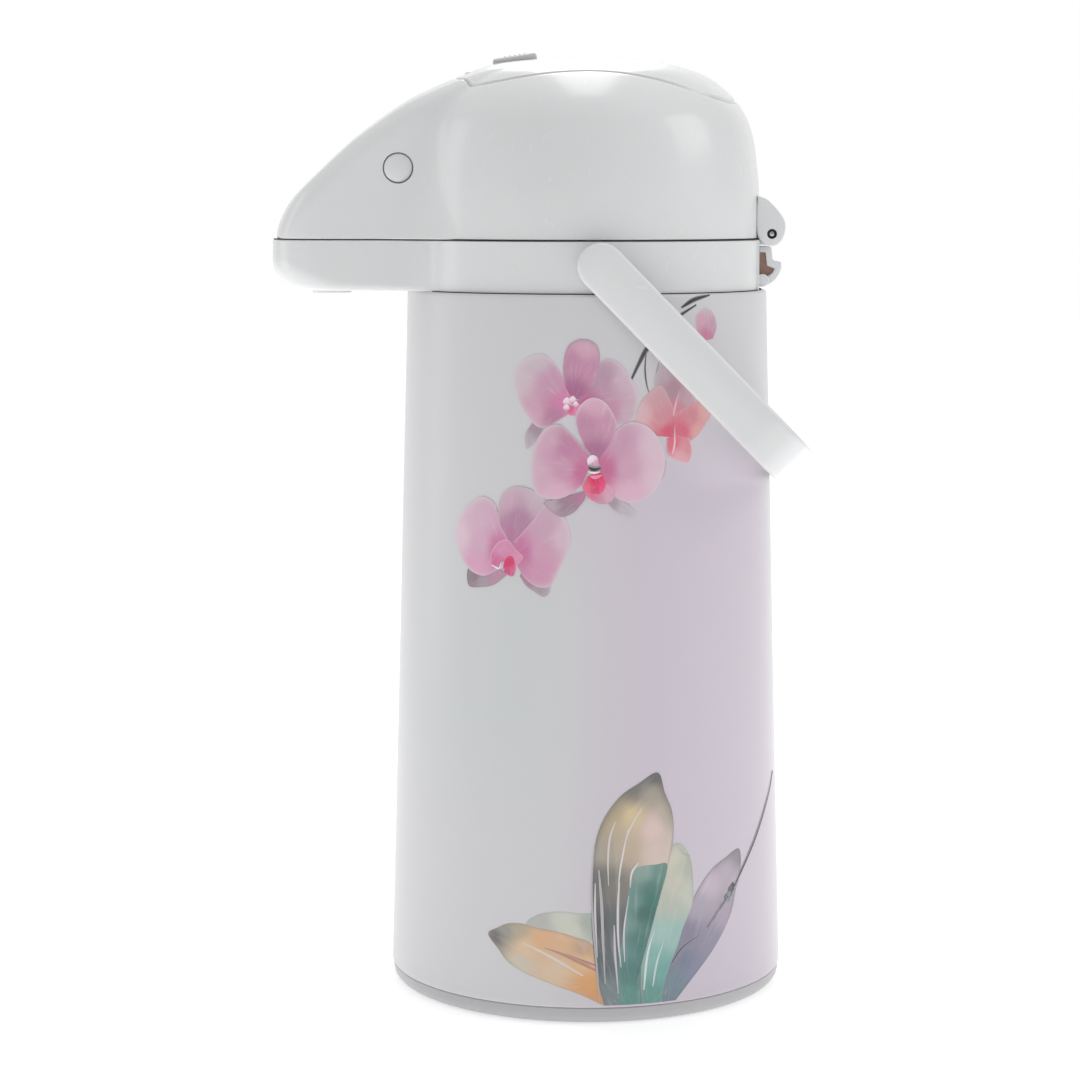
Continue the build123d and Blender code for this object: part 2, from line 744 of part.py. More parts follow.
def handle_frame():
    """Plane of the handle: local x along the arm from the pivot, local y along world X."""
    drop = radians(HANDLE_DROP)
    return Plane(
        origin=(0, HANDLE_Y, HANDLE_Z), x_dir=(0, cos(drop), -sin(drop)), z_dir=(0, -sin(drop), -cos(drop))
    )


def bail_plan(inner):
    """Outline of one side of the bail in its own plane: arms, corners and bowed bar."""
    half = ARM_IN_X if inner else ARM_IN_X + STRAP_T
    bar_u = BAR_IN_U if inner else BAR_IN_U + BAR_T
    corner_u = bar_u - 8.0
    corner_w = half - 16.0
    start = -12.0
    lines = [
        Line((start, -half), (ARM_LENGTH, -half)),
        Spline((ARM_LENGTH, -half), (corner_u, -corner_w), tangents=((1, 0), (0.22, 1))),
        Spline((corner_u, -corner_w), (bar_u, 0), (corner_u, corner_w), tangents=((0.22, 1), (-0.22, 1))),
        Spline((corner_u, corner_w), (ARM_LENGTH, half), tangents=((-0.22, 1), (-1, 0))),
        Line((ARM_LENGTH, half), (start, half)),
        Line((start, half), (start, -half)),
    ]
    return make_face(lines)


def handle():
    """Carrying bail: two flat arms joined by a bar that bows round the back of the body."""
    frame = handle_frame()
    flat = bail_plan(False) - bail_plan(True)
    slab = extrude(frame * flat, STRAP_W / 2, dir=frame.z_dir, both=True)
    reach = BAR_IN_U + BAR_T + 5
    strap = make_face(
        [
            Line((0, -STRAP_W / 2), (reach, -STRAP_W / 2)),
            Line((reach, -STRAP_W / 2), (reach, STRAP_W / 2)),
            Line((reach, STRAP_W / 2), (0, STRAP_W / 2)),
            ThreePointArc((0, STRAP_W / 2), (-STRAP_W / 2, 0), (0, -STRAP_W / 2)),
        ]
    )
    side_view = Plane(origin=frame.origin, x_dir=frame.x_dir, z_dir=(1, 0, 0))
    bail = slab & extrude(side_view * strap, 90, dir=(1, 0, 0), both=True)
    for _, side in SIDES:
        bail -= side_rod(side, HANDLE_Y, HANDLE_Z, STUD_R, 60, 75)
    return bail


def handle_stud(side):
    return side_rod(side, HANDLE_Y, HANDLE_Z, STUD_R, CLIP_IN_X - 0.5, 75.0)


def handle_disc(side, radius, near_x, far_x):
    """Flat ring on a handle stud."""
    disc = side_rod(side, HANDLE_Y, HANDLE_Z, radius, near_x, far_x)
    return disc - side_rod(side, HANDLE_Y, HANDLE_Z, STUD_R, near_x, far_x)


def handle_washer(side):
    return handle_disc(side, 6.6, ARM_IN_X - 0.4, ARM_IN_X)


def handle_clip(side):
    return handle_disc(side, 5.0, CLIP_IN_X, CLIP_IN_X + 1.6)


def build():
    """All sub-parts by node name."""
    parts = {
        "outer_shell": outer_shell(),
        "base_ring": base_ring(),
        "base_cap": base_cap(),
        "liner_cushion": liner_cushion(),
        "glass_outer_bottle": glass_outer_bottle(),
        "glass_inner_bottle": glass_inner_bottle(),
        "liner_spacers": liner_spacers(),
        "neck_gasket": neck_gasket(),
        "collar": collar(),
        "mouth_ring": mouth_ring(),
        "tube_holder": tube_holder(),
        "siphon_tube": siphon_tube(),
        "tube_foot": tube_foot(),
        "outlet_pipe": outlet_pipe(),
        "nozzle": nozzle(),
        "lid_cover": lid_cover(),
        "lid_base": lid_base(),
        "lid_gasket": lid_gasket(),
        "air_valve": air_valve(),
        "lid_screws": lid_screws(),
        "bellows_seat": bellows_seat(),
        "bellows": bellows(),
        "bellows_spring": bellows_spring(),
        "press_plate": press_plate(),
        "bellows_cap": bellows_cap(),
        "vent_valve": vent_valve(),
        "lock_knob": lock_knob(),
        "hinge_pin": hinge_pin(),
        "detach_lever": detach_lever(),
        "lever_pin": lever_pin(),
        "handle": handle(),
    }
    for name, side in SIDES:
        parts[f"release_button_{name}"] = release_button(side)
        parts[f"latch_{name}"] = latch(side)
        parts[f"latch_spring_{name}"] = latch_spring(side)
        parts[f"handle_stud_{name}"] = handle_stud(side)
        parts[f"handle_washer_{name}"] = handle_washer(side)
        parts[f"handle_clip_{name}"] = handle_clip(side)
    return parts


for node, shape in build().items():
    export_step(shape, f"parts/{node}.step")
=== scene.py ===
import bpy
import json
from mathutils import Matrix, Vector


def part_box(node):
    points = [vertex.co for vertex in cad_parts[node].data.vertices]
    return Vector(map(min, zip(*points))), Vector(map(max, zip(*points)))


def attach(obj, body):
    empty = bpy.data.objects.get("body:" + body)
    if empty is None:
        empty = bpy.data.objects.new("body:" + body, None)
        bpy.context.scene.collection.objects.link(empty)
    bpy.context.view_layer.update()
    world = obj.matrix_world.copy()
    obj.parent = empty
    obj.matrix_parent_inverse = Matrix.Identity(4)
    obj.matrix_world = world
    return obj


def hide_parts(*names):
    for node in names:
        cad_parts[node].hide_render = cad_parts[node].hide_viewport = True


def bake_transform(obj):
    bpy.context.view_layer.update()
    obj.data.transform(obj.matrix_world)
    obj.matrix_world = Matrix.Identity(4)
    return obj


bl_info = {
    "name": "Pump Pot",
    "version": (1, 0, 0),
    "blender": (4, 5, 0),
    "location": "3D View > Sidebar > Pump Pot",
    "description": "Builds the finished surfaces of a vacuum pump pot around its CAD frame",
    "category": "Object",
}

import json
from math import atan2, cos, pi, radians, sin, sqrt

import bmesh
import bpy
import numpy as np
from mathutils import Matrix, Vector

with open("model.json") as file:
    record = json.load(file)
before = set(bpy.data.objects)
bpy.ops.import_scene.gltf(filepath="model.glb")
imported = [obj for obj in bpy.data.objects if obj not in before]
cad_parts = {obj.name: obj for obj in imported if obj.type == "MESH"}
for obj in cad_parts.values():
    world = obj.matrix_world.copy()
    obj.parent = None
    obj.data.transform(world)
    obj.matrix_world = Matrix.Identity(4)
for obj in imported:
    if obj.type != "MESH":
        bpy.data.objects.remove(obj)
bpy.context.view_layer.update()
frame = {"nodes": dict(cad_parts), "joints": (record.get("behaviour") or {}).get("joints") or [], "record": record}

# Lengths below are millimetres; meshes are written in metres.
MM = 0.001
NODES = frame["nodes"]
JOINTS = {joint["name"]: joint for joint in frame["joints"]}
PIVOT = {
    name: Vector(joint["pos_m"]) / MM for name, joint in JOINTS.items() if joint["type"] == "hinge"
}
HINGE = PIVOT["lid_hinge"]
LEVER = PIVOT["lever_hinge"]
HANDLE = PIVOT["handle_swing"]
SIDES = (("left", -1), ("right", 1))


def lowest(node):
    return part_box(node)[0] / MM


def highest(node):
    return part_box(node)[1] / MM


# Body
SHELL_LOW_Z = lowest("outer_shell").z
SHELL_TOP_Z = highest("outer_shell").z
FOOT_R = highest("outer_shell").x
WAIST_R = 73.2
WAIST_Z = 140.0
SHOULDER_R = 69.5
# Collar and lid
COLLAR_R = 67.2
COLLAR_TOP_Z = 290.8
DECK_Z = 269.5
SEAM_Z = 291.2
TIP_Y = lowest("lid_cover").y
TIP_R = 23.3
ROOT_R = 33.2
BUTTON = (highest("release_button_right") + lowest("release_button_right")) / 2
# Press plate
PLATE_Y = 3.0
PLATE_L = 54.0
PLATE_W = 45.0
PLATE_POWER = 2.6
TRACK_Y = -31.5
TRACK_Z = 356.6
TRACK_SLOPE = atan2(-JOINTS["lock_slide"]["axis"][2], -JOINTS["lock_slide"]["axis"][1])
# Bellows
BELLOWS_LOW_Z = lowest("bellows").z
BELLOWS_TOP_Z = highest("bellows").z


# --- User settings --------------------------------------------------------------------------


def length(name, description, millimetres):
    return bpy.props.FloatProperty(
        name=name, description=description, default=millimetres * MM, unit="LENGTH", min=0.0
    )


def paint(name, description, colour):
    return bpy.props.FloatVectorProperty(
        name=name, description=description, default=colour, subtype="COLOR", size=3, min=0.0, max=1.0
    )


class PotSizes(bpy.types.PropertyGroup):
    """Sizes of the moulded pieces."""

    lid_wall: length("Lid wall", "Thickness of the moulded lid", 2.4)
    plate_gap: length("Plate gap", "Gap round the press plate", 0.45)
    edge_round: length("Edge round", "Rounding of the moulded edges", 0.8)
    nose_edge: length("Nose edge", "Rounding along the top of the nose", 6.0)
    root_blend: length("Root blend", "Hollow blend where the nose meets the dome", 9.0)
    strap_round: length("Strap round", "Rounding of the handle's edges", 1.7)


class PotColours(bpy.types.PropertyGroup):
    """Colours of the finishes."""

    plastic: paint("Plastic", "White moulded plastic", (0.80, 0.805, 0.81))
    jacket: paint("Jacket", "Lacquered steel jacket", (0.70, 0.695, 0.71))
    lilac: paint("Lilac", "Wash on the hinge half of the jacket", (0.655, 0.595, 0.665))
    mint: paint("Mint", "Wash on the spout half of the jacket", (0.675, 0.695, 0.695))
    knob: paint("Knob", "Grey lock knob", (0.66, 0.665, 0.67))
    # Painted shade: the foot's darker lilac grey stands for the shade on the band above the table.
    foot: paint("Foot", "Lilac-grey foot moulding", (0.52, 0.515, 0.53))
    inner: paint("Inner plastic", "Milky plastic of the inner pieces", (0.72, 0.73, 0.72))
    # Painted shade: near-black colour of the strips that stand for the shade in the seams and in the hinge holes.
    seam: paint("Seam", "Dark liner in the seams", (0.018, 0.018, 0.019))
    rubber: paint("Rubber", "Seals and cushion", (0.35, 0.35, 0.345))
    # Painted shade and reflection: the web's tan stands for the shade and brown reflection in the lever's hollow.
    lever_web_shade: paint("Lever web", "Tan web inside the detaching lever", (0.36, 0.22, 0.17))


class PotStage(bpy.types.PropertyGroup):
    """Camera and light."""

    distance: length("Distance", "Camera to the body's axis", 1100.0)
    height: length("Height", "Camera above the table", 305.5)
    offset: length("Offset", "Camera shifted towards the spout", 18.2)
    pitch: bpy.props.FloatProperty(
        name="Pitch", description="Camera tilt below level", default=radians(6.855), subtype="ANGLE"
    )
    lens: bpy.props.FloatProperty(name="Lens", description="Focal length", default=94.0, unit="CAMERA")


# --- Mesh helpers ---------------------------------------------------------------------------


def grid_faces(rows, columns, first=0, close_rows=False):
    """Quads of a grid that closes round its columns, and round its rows if asked."""
    faces = []
    last_row = rows if close_rows else rows - 1
    for i in range(last_row):
        below = first + i * columns
        above = first + ((i + 1) % rows) * columns
        for j in range(columns):
            k = (j + 1) % columns
            faces.append((below + j, below + k, above + k, above + j))
    return faces


def solid_from_rows(rows, close_rows=False):
    """(points, faces) of a skin through rows of points; end rows close to poles or loops."""
    rows = np.asarray(rows, float)
    count, columns = rows.shape[:2]
    return rows.reshape(-1, 3), grid_faces(count, columns, close_rows=close_rows)


def turned(outline, segments=192):
    """Solid of revolution about Z from a closed (r, z) outline."""
    angles = np.linspace(0, 2 * pi, segments, endpoint=False)
    rows = [np.stack([r * np.cos(angles), r * np.sin(angles), np.full(segments, z)], 1) for r, z in outline]
    return solid_from_rows(rows, close_rows=True)


def close_up(bm):
    """Merges poles, drops faces without area and turns every shell's faces outwards."""
    bmesh.ops.remove_doubles(bm, verts=bm.verts, dist=1e-7)
    bmesh.ops.dissolve_degenerate(bm, edges=bm.edges, dist=1e-8)
    bmesh.ops.recalc_face_normals(bm, faces=bm.faces)


def joined(solids):
    """One closed-up bmesh of several solids."""
    bm = bmesh.new()
    for points, faces in solids:
        verts = [bm.verts.new(Vector(p) * MM) for p in points]
        for face in faces:
            bm.faces.new([verts[i] for i in face])
    close_up(bm)
    return bm


def new_object(name, solids, sharp=35.0):
    bm = joined(solids)
    mesh = bpy.data.meshes.new(name)
    bm.to_mesh(mesh)
    bm.free()
    return finish_object(name, mesh, sharp)


def finish_object(name, mesh, sharp=35.0):
    mesh.shade_smooth()
    mesh.set_sharp_from_angle(angle=radians(sharp))
    made = bpy.data.objects.new(name, mesh)
    bpy.context.scene.collection.objects.link(made)
    return made


def plain_mesh(made, sharp=35.0):
    """Applies an object's modifiers and leaves a plain mesh on it."""
    bpy.context.view_layer.update()
    graph = bpy.context.evaluated_depsgraph_get()
    mesh = bpy.data.meshes.new_from_object(made.evaluated_get(graph))
    made.modifiers.clear()
    made.data = mesh
    mesh.shade_smooth()
    mesh.set_sharp_from_angle(angle=radians(sharp))
    return made


def cut(made, solids, sharp=35.0):
    """Takes solids away from an object."""
    cutter = new_object(made.name + "_cutter", solids)
    modifier = made.modifiers.new("cut", "BOOLEAN")
    modifier.object = cutter
    modifier.operation = "DIFFERENCE"
    modifier.solver = "EXACT"
    plain_mesh(made, sharp)
    bpy.data.objects.remove(cutter)
    return made


def bevelled(points, faces, offset, segments=3):
    """The same solid with its sharp edges rounded."""
    bm = bmesh.new()
    verts = [bm.verts.new(Vector(p)) for p in points]
    for face in faces:
        bm.faces.new([verts[i] for i in face])
    bmesh.ops.recalc_face_normals(bm, faces=bm.faces)
    edges = [e for e in bm.edges if e.calc_face_angle(0) > radians(28)]
    bmesh.ops.bevel(
        bm, geom=edges, offset=offset, segments=segments, profile=0.5, affect="EDGES", clamp_overlap=True
    )
    bm.verts.ensure_lookup_table()
    for index, vert in enumerate(bm.verts):
        vert.index = index
    rounded = ([tuple(v.co) for v in bm.verts], [[v.index for v in f.verts] for f in bm.faces])
    bm.free()
    return rounded


def prism(outline, low_x, high_x, offset=0.0):
    """A side-view (y, z) outline given thickness along X."""
    count = len(outline)
    points = [(low_x, y, z) for y, z in outline] + [(high_x, y, z) for y, z in outline]
    faces = [tuple(range(count)), tuple(range(2 * count - 1, count - 1, -1))]
    for i in range(count):
        k = (i + 1) % count
        faces.append((i, k, count + k, count + i))
    return bevelled(points, faces, offset) if offset else (points, faces)


def block(low, high, offset=0.0):
    outline = [(low[1], low[2]), (high[1], low[2]), (high[1], high[2]), (low[1], high[2])]
    return prism(outline, low[0], high[0], offset)


def arc(centre, radius, start, end, steps):
    """(y, z) points on an arc, angles in degrees."""
    angles = np.radians(np.linspace(start, end, steps))
    return [(centre[0] + radius * cos(a), centre[1] + radius * sin(a)) for a in angles]


def rod_x(centre, radius, low_x, high_x, offset=0.0, segments=64):
    circle = arc((centre[1], centre[2]), radius, 0, 360 * (1 - 1 / segments), segments)
    return prism(circle, low_x, high_x, offset)


def side_rod(centre, radius, side, near_x, far_x, offset=0.0):
    return rod_x(centre, radius, *sorted((side * near_x, side * far_x)), offset)


def side_block(side, near_x, far_x, low, high, offset=0.0):
    """Block between two (y, z) corners on one side of the middle."""
    low_x, high_x = sorted((side * near_x, side * far_x))
    return block((low_x, *low), (high_x, *high), offset)


def post(x, y, radius, low_z, high_z, segments=64):
    points, faces = turned(((radius, low_z), (radius, high_z), (0, high_z), (0, low_z)), segments)
    return points + np.array((x, y, 0)), faces


def flow(points, steps):
    """Smooth curve through points (Catmull-Rom), as an array."""
    p = np.array(points, float)
    p = np.vstack([2 * p[0] - p[1], p, 2 * p[-1] - p[-2]])
    line = []
    for i in range(1, len(p) - 2):
        for t in np.linspace(0, 1, steps, endpoint=False):
            a = -p[i - 1] + 3 * p[i] - 3 * p[i + 1] + p[i + 2]
            b = 2 * p[i - 1] - 5 * p[i] + 4 * p[i + 1] - p[i + 2]
            c = p[i + 1] - p[i - 1]
            line.append(0.5 * (a * t**3 + b * t**2 + c * t) + p[i])
    line.append(p[-2])
    return np.array(line)


def settle(made, body, slot, material, *nodes):
    """Gives a finished piece its finish, its place on a body and the nodes that it stands for."""
    made.data.materials.clear()
    made.data.materials.append(material)
    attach(made, body)
    if nodes:
        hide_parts(*nodes)
    return made


# --- Form of the lid and the collar ---------------------------------------------------------

NOSE_RIDGE = (
    (-121.8, 270.0), (-121.8, 286.0), (-121.7, 293.6), (-119.4, 298.2), (-112.7, 307.4),
    (-103.7, 316.6), (-88.5, 330.4), (-70.7, 343.0), (-59.4, 348.7), (-48.6, 353.3),
    (-37.1, 357.4), (-27.0, 358.9), (-12.0, 359.8), (10.0, 360.0),
)
DOME_SIDE = (
    (66.4, 270.0), (66.4, 290.0), (66.4, 308.0), (65.7, 318.0), (64.3, 328.0), (62.5, 334.6),
    (60.3, 339.2), (57.0, 343.8), (52.4, 348.4), (46.5, 352.6), (40.3, 355.2), (33.0, 357.3),
    (24.0, 358.7), (12.0, 359.7), (0.0, 360.0),
)
NOSE_CROWN = 2.6
CHIN_Z = 271.5


def profile_distance(reach, z, path):
    """Signed distance to a profile whose reach shrinks as z grows; negative inside."""
    flat = np.stack([reach.ravel(), z.ravel()], 1)
    best = np.full(len(flat), 1e9)
    for a, b in zip(path[:-1], path[1:]):
        ab = b - a
        along = np.clip(((flat - a) @ ab) / max(ab @ ab, 1e-9), 0, 1)
        gap = flat - a - along[:, None] * ab
        best = np.minimum(best, np.einsum("ij,ij->i", gap, gap))
    limit = np.interp(flat[:, 1], path[:, 1], path[:, 0])
    inside = (flat[:, 0] < limit) & (flat[:, 1] < path[-1, 1])
    return np.where(inside, -1, 1).reshape(reach.shape) * np.sqrt(best).reshape(reach.shape)


def smooth_profile(points):
    line = flow(points, 5)
    line[:, 1] = np.maximum.accumulate(line[:, 1] + np.arange(len(line)) * 1e-6)
    return line


RIDGE_PATH = smooth_profile([(-y, z) for y, z in NOSE_RIDGE])
DOME_PATH = smooth_profile(DOME_SIDE)


def plan_distance(x, y):
    """Distance to the nose's outline from above: a large and a small circle joined by tangents."""
    span = -(TIP_Y + TIP_R)
    px, py = np.abs(x), -y
    b = (ROOT_R - TIP_R) / span
    a = sqrt(1 - b * b)
    k = a * py - b * px
    side = a * px + b * py - ROOT_R
    tip = np.hypot(px, py - span) - TIP_R
    root = np.hypot(px, py) - ROOT_R
    return np.where(k < 0, root, np.where(k > a * span, tip, side))


def round_meet(a, b, radius):
    """Intersection with a rounded edge."""
    u, v = np.maximum(a + radius, 0), np.maximum(b + radius, 0)
    return np.minimum(-radius, np.maximum(a, b)) + np.hypot(u, v)


def round_join(a, b, radius):
    """Union with a hollow blend."""
    u, v = np.maximum(radius - a, 0), np.maximum(radius - b, 0)
    return np.maximum(radius, np.minimum(a, b)) - np.hypot(u, v)


# How far in front of the axis the nose's own form stops, inside the dome.
NOSE_REACH = 12.0


def lid_distance(p):
    sizes = bpy.context.scene.pot_sizes
    x, y, z = p[..., 0], p[..., 1], p[..., 2]
    crowned = z + NOSE_CROWN * (x / TIP_R) ** 2
    top = profile_distance(-y, crowned, RIDGE_PATH)
    nose = round_meet(plan_distance(x, y), top, sizes.nose_edge / MM)
    nose = np.maximum(nose, y + NOSE_REACH)
    dome = profile_distance(np.hypot(x, y), z, DOME_PATH)
    blend = np.clip(sizes.root_blend / MM - (z - 322) * 0.3, 1.0, None)
    return round_join(nose, dome, blend)


def collar_distance(p):
    sizes = bpy.context.scene.pot_sizes
    x, y, z = p[..., 0], p[..., 1], p[..., 2]
    chin = np.interp(-y, (60, 96, 116), (1.5, 3.0, 11.5))
    nose = round_meet(plan_distance(x, y), CHIN_Z - z, chin)
    return round_join(nose, np.hypot(x, y) - COLLAR_R, sizes.root_blend / MM)


def shoot(distance, origin, directions, inset, reach=175.0):
    """Points where rays leave the form, by halving."""
    near = np.zeros(directions.shape[:-1])
    far = np.full(directions.shape[:-1], reach)
    for _ in range(24):
        middle = (near + far) / 2
        outside = distance(origin + middle[..., None] * directions) + inset > 0
        far = np.where(outside, middle, far)
        near = np.where(outside, near, middle)
    return origin + near[..., None] * directions


def headings(count):
    """Angles round the lid, closer together over the nose."""
    share = np.linspace(-1, 1, count, endpoint=False)
    return pi * np.sign(share) * np.abs(share) ** 1.7


def bearing(angles):
    """Unit plan vectors; angle 0 points along the nose."""
    return np.stack([np.sin(angles), -np.cos(angles), np.zeros_like(angles)], -1)


def oval(angles, grow):
    """Plan points of the press plate's outline, grown evenly."""
    s, c = np.abs(np.sin(angles)), np.abs(np.cos(angles))
    total = (s / (PLATE_W + grow)) ** PLATE_POWER + (c / (PLATE_L + grow)) ** PLATE_POWER
    radius = total ** (-1 / PLATE_POWER)
    return radius[:, None] * bearing(angles) + np.array((0, PLATE_Y, 0))


def drop_on(plan, inset):
    """Height of the lid's surface over plan points."""
    origin = np.array(plan)
    origin[..., 2] = 300.0
    up = np.zeros_like(origin)
    up[..., 2] = 1.0
    return shoot(lid_distance, origin, up, inset, reach=64.0)


def at_height(plan, z):
    placed = np.array(plan)
    placed[..., 2] = z
    return placed


def fan(distance, centre, angles, start, end, steps, inset):
    """Rows of surface points seen from a centre, between two elevations (radians)."""
    share = np.linspace(0, 1, steps)[:, None]
    elevation = np.asarray(start)[None, :] * (1 - share) + np.asarray(end)[None, :] * share
    flat = bearing(angles)[None] * np.cos(elevation)[..., None]
    rise = np.zeros_like(flat)
    rise[..., 2] = np.sin(elevation)
    return list(shoot(distance, np.array(centre), flat + rise, inset))


def elevation_of(points, centre):
    gap = points - np.array(centre)
    return np.arctan2(gap[:, 2], np.hypot(gap[:, 0], gap[:, 1]))


def lid_rows(angles):
    """Closed section rows of the lid: outside, seam edge, inside, guide wall, opening edge."""
    sizes = bpy.context.scene.pot_sizes
    wall, edge = sizes.lid_wall / MM, sizes.edge_round / MM
    centre = (0.0, PLATE_Y, SEAM_Z)
    level = np.zeros(len(angles))
    top = drop_on(oval(angles, edge), 0)
    outside = fan(lid_distance, centre, angles, elevation_of(top, centre), level + 0.004, 64, 0)
    foot = fan(lid_distance, centre, angles, level, level, 1, 0.45)[0]
    inner_foot = fan(lid_distance, centre, angles, level, level, 1, wall)[0]
    roof = drop_on(oval(angles, 2.0), wall)
    inside = fan(lid_distance, centre, angles, level + 0.01, elevation_of(roof, centre), 30, wall)
    lip = drop_on(oval(angles, edge * 0.3), 0)
    lip[:, 2] -= edge * 0.3
    brink = at_height(oval(angles, 0), 0)
    brink[:, 2] = top[:, 2] - edge
    guide_low = 330.0
    guide = [at_height(oval(angles, 2.0), guide_low), at_height(oval(angles, 0), guide_low)]
    return outside + [foot, inner_foot] + inside + guide + [brink, lip]


def plate_rows(angles):
    """Rows of the press plate from the middle of its top, round its skirt, to its underside."""
    sizes = bpy.context.scene.pot_sizes
    wall, edge, gap = sizes.lid_wall / MM, sizes.edge_round / MM, sizes.plate_gap / MM
    middle = np.array((0, PLATE_Y, 0.0))
    rim = oval(angles, -gap - edge)
    steps = np.sin(np.linspace(0, pi / 2, 34))
    rows = [drop_on(middle + (rim - middle) * q, 0) for q in steps]
    shoulder = oval(angles, -gap - 0.3 * edge)
    shoulder[:, 2] = rows[-1][:, 2] - 0.35 * edge
    brink = oval(angles, -gap)
    brink[:, 2] = rows[-1][:, 2] - edge
    flange_top, flange_low = 329.4, 327.6
    skirt = [
        shoulder,
        brink,
        at_height(oval(angles, -gap), flange_top),
        at_height(oval(angles, 1.1), flange_top),
        at_height(oval(angles, 1.1), flange_low),
        at_height(oval(angles, -gap - 2.0), flange_low),
    ]
    inner_rim = oval(angles, -gap - 2.0)
    under = [drop_on(middle + (inner_rim - middle) * q, wall) for q in reversed(steps)]
    return rows + skirt + under


# --- Shader groups --------------------------------------------------------------------------


class Wiring:
    """Short names for making nodes and links in one tree."""

    def __init__(self, tree):
        self.tree = tree

    def node(self, kind, **settings):
        made = self.tree.nodes.new(kind)
        for key, value in settings.items():
            setattr(made, key, value)
        return made

    def link(self, source, target):
        self.tree.links.new(source, target)

    def noise(self, vector, scale, detail=3.0, rough=0.5):
        made = self.node("ShaderNodeTexNoise")
        made.inputs["Scale"].default_value = scale
        made.inputs["Detail"].default_value = detail
        made.inputs["Roughness"].default_value = rough
        self.link(vector, made.inputs["Vector"])
        return made.outputs["Fac"]

    def ramp(self, value, low, high, out_low=0.0, out_high=1.0):
        made = self.node("ShaderNodeMapRange", interpolation_type="SMOOTHSTEP")
        limits = {"From Min": low, "From Max": high, "To Min": out_low, "To Max": out_high}
        for name, number in limits.items():
            made.inputs[name].default_value = number
        self.link(value, made.inputs["Value"])
        return made.outputs["Result"]

    def mix(self, factor, first, second, mode="MIX"):
        made = self.node("ShaderNodeMix", data_type="RGBA", blend_type=mode)
        for socket, value in ((0, factor), (6, first), (7, second)):
            if isinstance(value, bpy.types.NodeSocket):
                self.link(value, made.inputs[socket])
            elif socket == 0:
                made.inputs[0].default_value = value
            else:
                made.inputs[socket].default_value = (*value[:3], 1.0)
        return made.outputs[2]

    def maths(self, operation, *values):
        made = self.node("ShaderNodeMath", operation=operation)
        for socket, value in enumerate(values):
            if isinstance(value, bpy.types.NodeSocket):
                self.link(value, made.inputs[socket])
            else:
                made.inputs[socket].default_value = value
        return made.outputs[0]

    def product(self, first, *others):
        for value in others:
            first = self.maths("MULTIPLY", first, value)
        return first

    def stretch(self, vector, scale):
        made = self.node("ShaderNodeMapping")
        made.inputs["Scale"].default_value = scale
        self.link(vector, made.inputs["Vector"])
        return made.outputs["Vector"]


def group_tree(name, inputs, outputs):
    tree = bpy.data.node_groups.new(name, "ShaderNodeTree")
    for label, kind, default in inputs:
        socket = tree.interface.new_socket(name=label, in_out="INPUT", socket_type=kind)
        if default is not None:
            socket.default_value = default
    for label, kind in outputs:
        tree.interface.new_socket(name=label, in_out="OUTPUT", socket_type=kind)
    wiring = Wiring(tree)
    return wiring, wiring.node("NodeGroupInput"), wiring.node("NodeGroupOutput")


def moulded_skin_group():
    """Fine spark-eroded texture of a mould, with slow drifts of tone from the flow of plastic."""
    name = "moulded skin"
    if name in bpy.data.node_groups:
        return bpy.data.node_groups[name]
    w, source, result = group_tree(
        name,
        (("Vector", "NodeSocketVector", None), ("Grain Scale", "NodeSocketFloat", 900.0),
         ("Flow Scale", "NodeSocketFloat", 14.0)),
        (("Grain", "NodeSocketFloat"), ("Flow", "NodeSocketFloat")),
    )
    grain = w.node("ShaderNodeTexNoise")
    grain.inputs["Detail"].default_value = 2.0
    flow_noise = w.node("ShaderNodeTexNoise")
    flow_noise.inputs["Detail"].default_value = 4.0
    flow_noise.inputs["Distortion"].default_value = 0.6
    for made, label in ((grain, "Grain Scale"), (flow_noise, "Flow Scale")):
        w.link(source.outputs["Vector"], made.inputs["Vector"])
        w.link(source.outputs[label], made.inputs["Scale"])
    w.link(grain.outputs["Fac"], result.inputs["Grain"])
    w.link(w.ramp(flow_noise.outputs["Fac"], 0.3, 0.7), result.inputs["Flow"])
    return w.tree


def handling_group():
    """Hair scratches and soft smears that hands and cloths leave."""
    name = "handling marks"
    if name in bpy.data.node_groups:
        return bpy.data.node_groups[name]
    w, source, result = group_tree(
        name,
        (("Vector", "NodeSocketVector", None), ("Scale", "NodeSocketFloat", 40.0)),
        (("Scratches", "NodeSocketFloat"), ("Smears", "NodeSocketFloat")),
    )
    masks = []
    for turn, stretch in ((0.4, (2, 60, 6)), (1.9, (50, 2, 5))):
        mapping = w.node("ShaderNodeMapping")
        mapping.inputs["Rotation"].default_value = (turn, turn * 0.7, turn)
        mapping.inputs["Scale"].default_value = stretch
        w.link(source.outputs["Vector"], mapping.inputs["Vector"])
        made = w.node("ShaderNodeTexNoise")
        made.inputs["Detail"].default_value = 1.0
        w.link(mapping.outputs["Vector"], made.inputs["Vector"])
        w.link(source.outputs["Scale"], made.inputs["Scale"])
        masks.append(w.ramp(made.outputs["Fac"], 0.68, 0.76))
    w.link(w.maths("MAXIMUM", masks[0], masks[1]), result.inputs["Scratches"])
    smear = w.noise(source.outputs["Vector"], 9.0, 5.0, 0.6)
    w.link(w.ramp(smear, 0.42, 0.66), result.inputs["Smears"])
    return w.tree


def start_material(name):
    material = bpy.data.materials.new(name)
    material.use_nodes = True
    w = Wiring(material.node_tree)
    shader = material.node_tree.nodes["Principled BSDF"]
    place = w.node("ShaderNodeTexCoord").outputs["Object"]
    return material, w, shader, place


def add_group(w, tree, vector, **values):
    made = w.node("ShaderNodeGroup", node_tree=tree)
    w.link(vector, made.inputs["Vector"])
    for label, value in values.items():
        made.inputs[label.replace("_", " ")].default_value = value
    return made


def add_bump(w, shader, height, strength, distance):
    bump = w.node("ShaderNodeBump")
    bump.inputs["Strength"].default_value = strength
    bump.inputs["Distance"].default_value = distance
    w.link(height, bump.inputs["Height"])
    w.link(bump.outputs["Normal"], shader.inputs["Normal"])


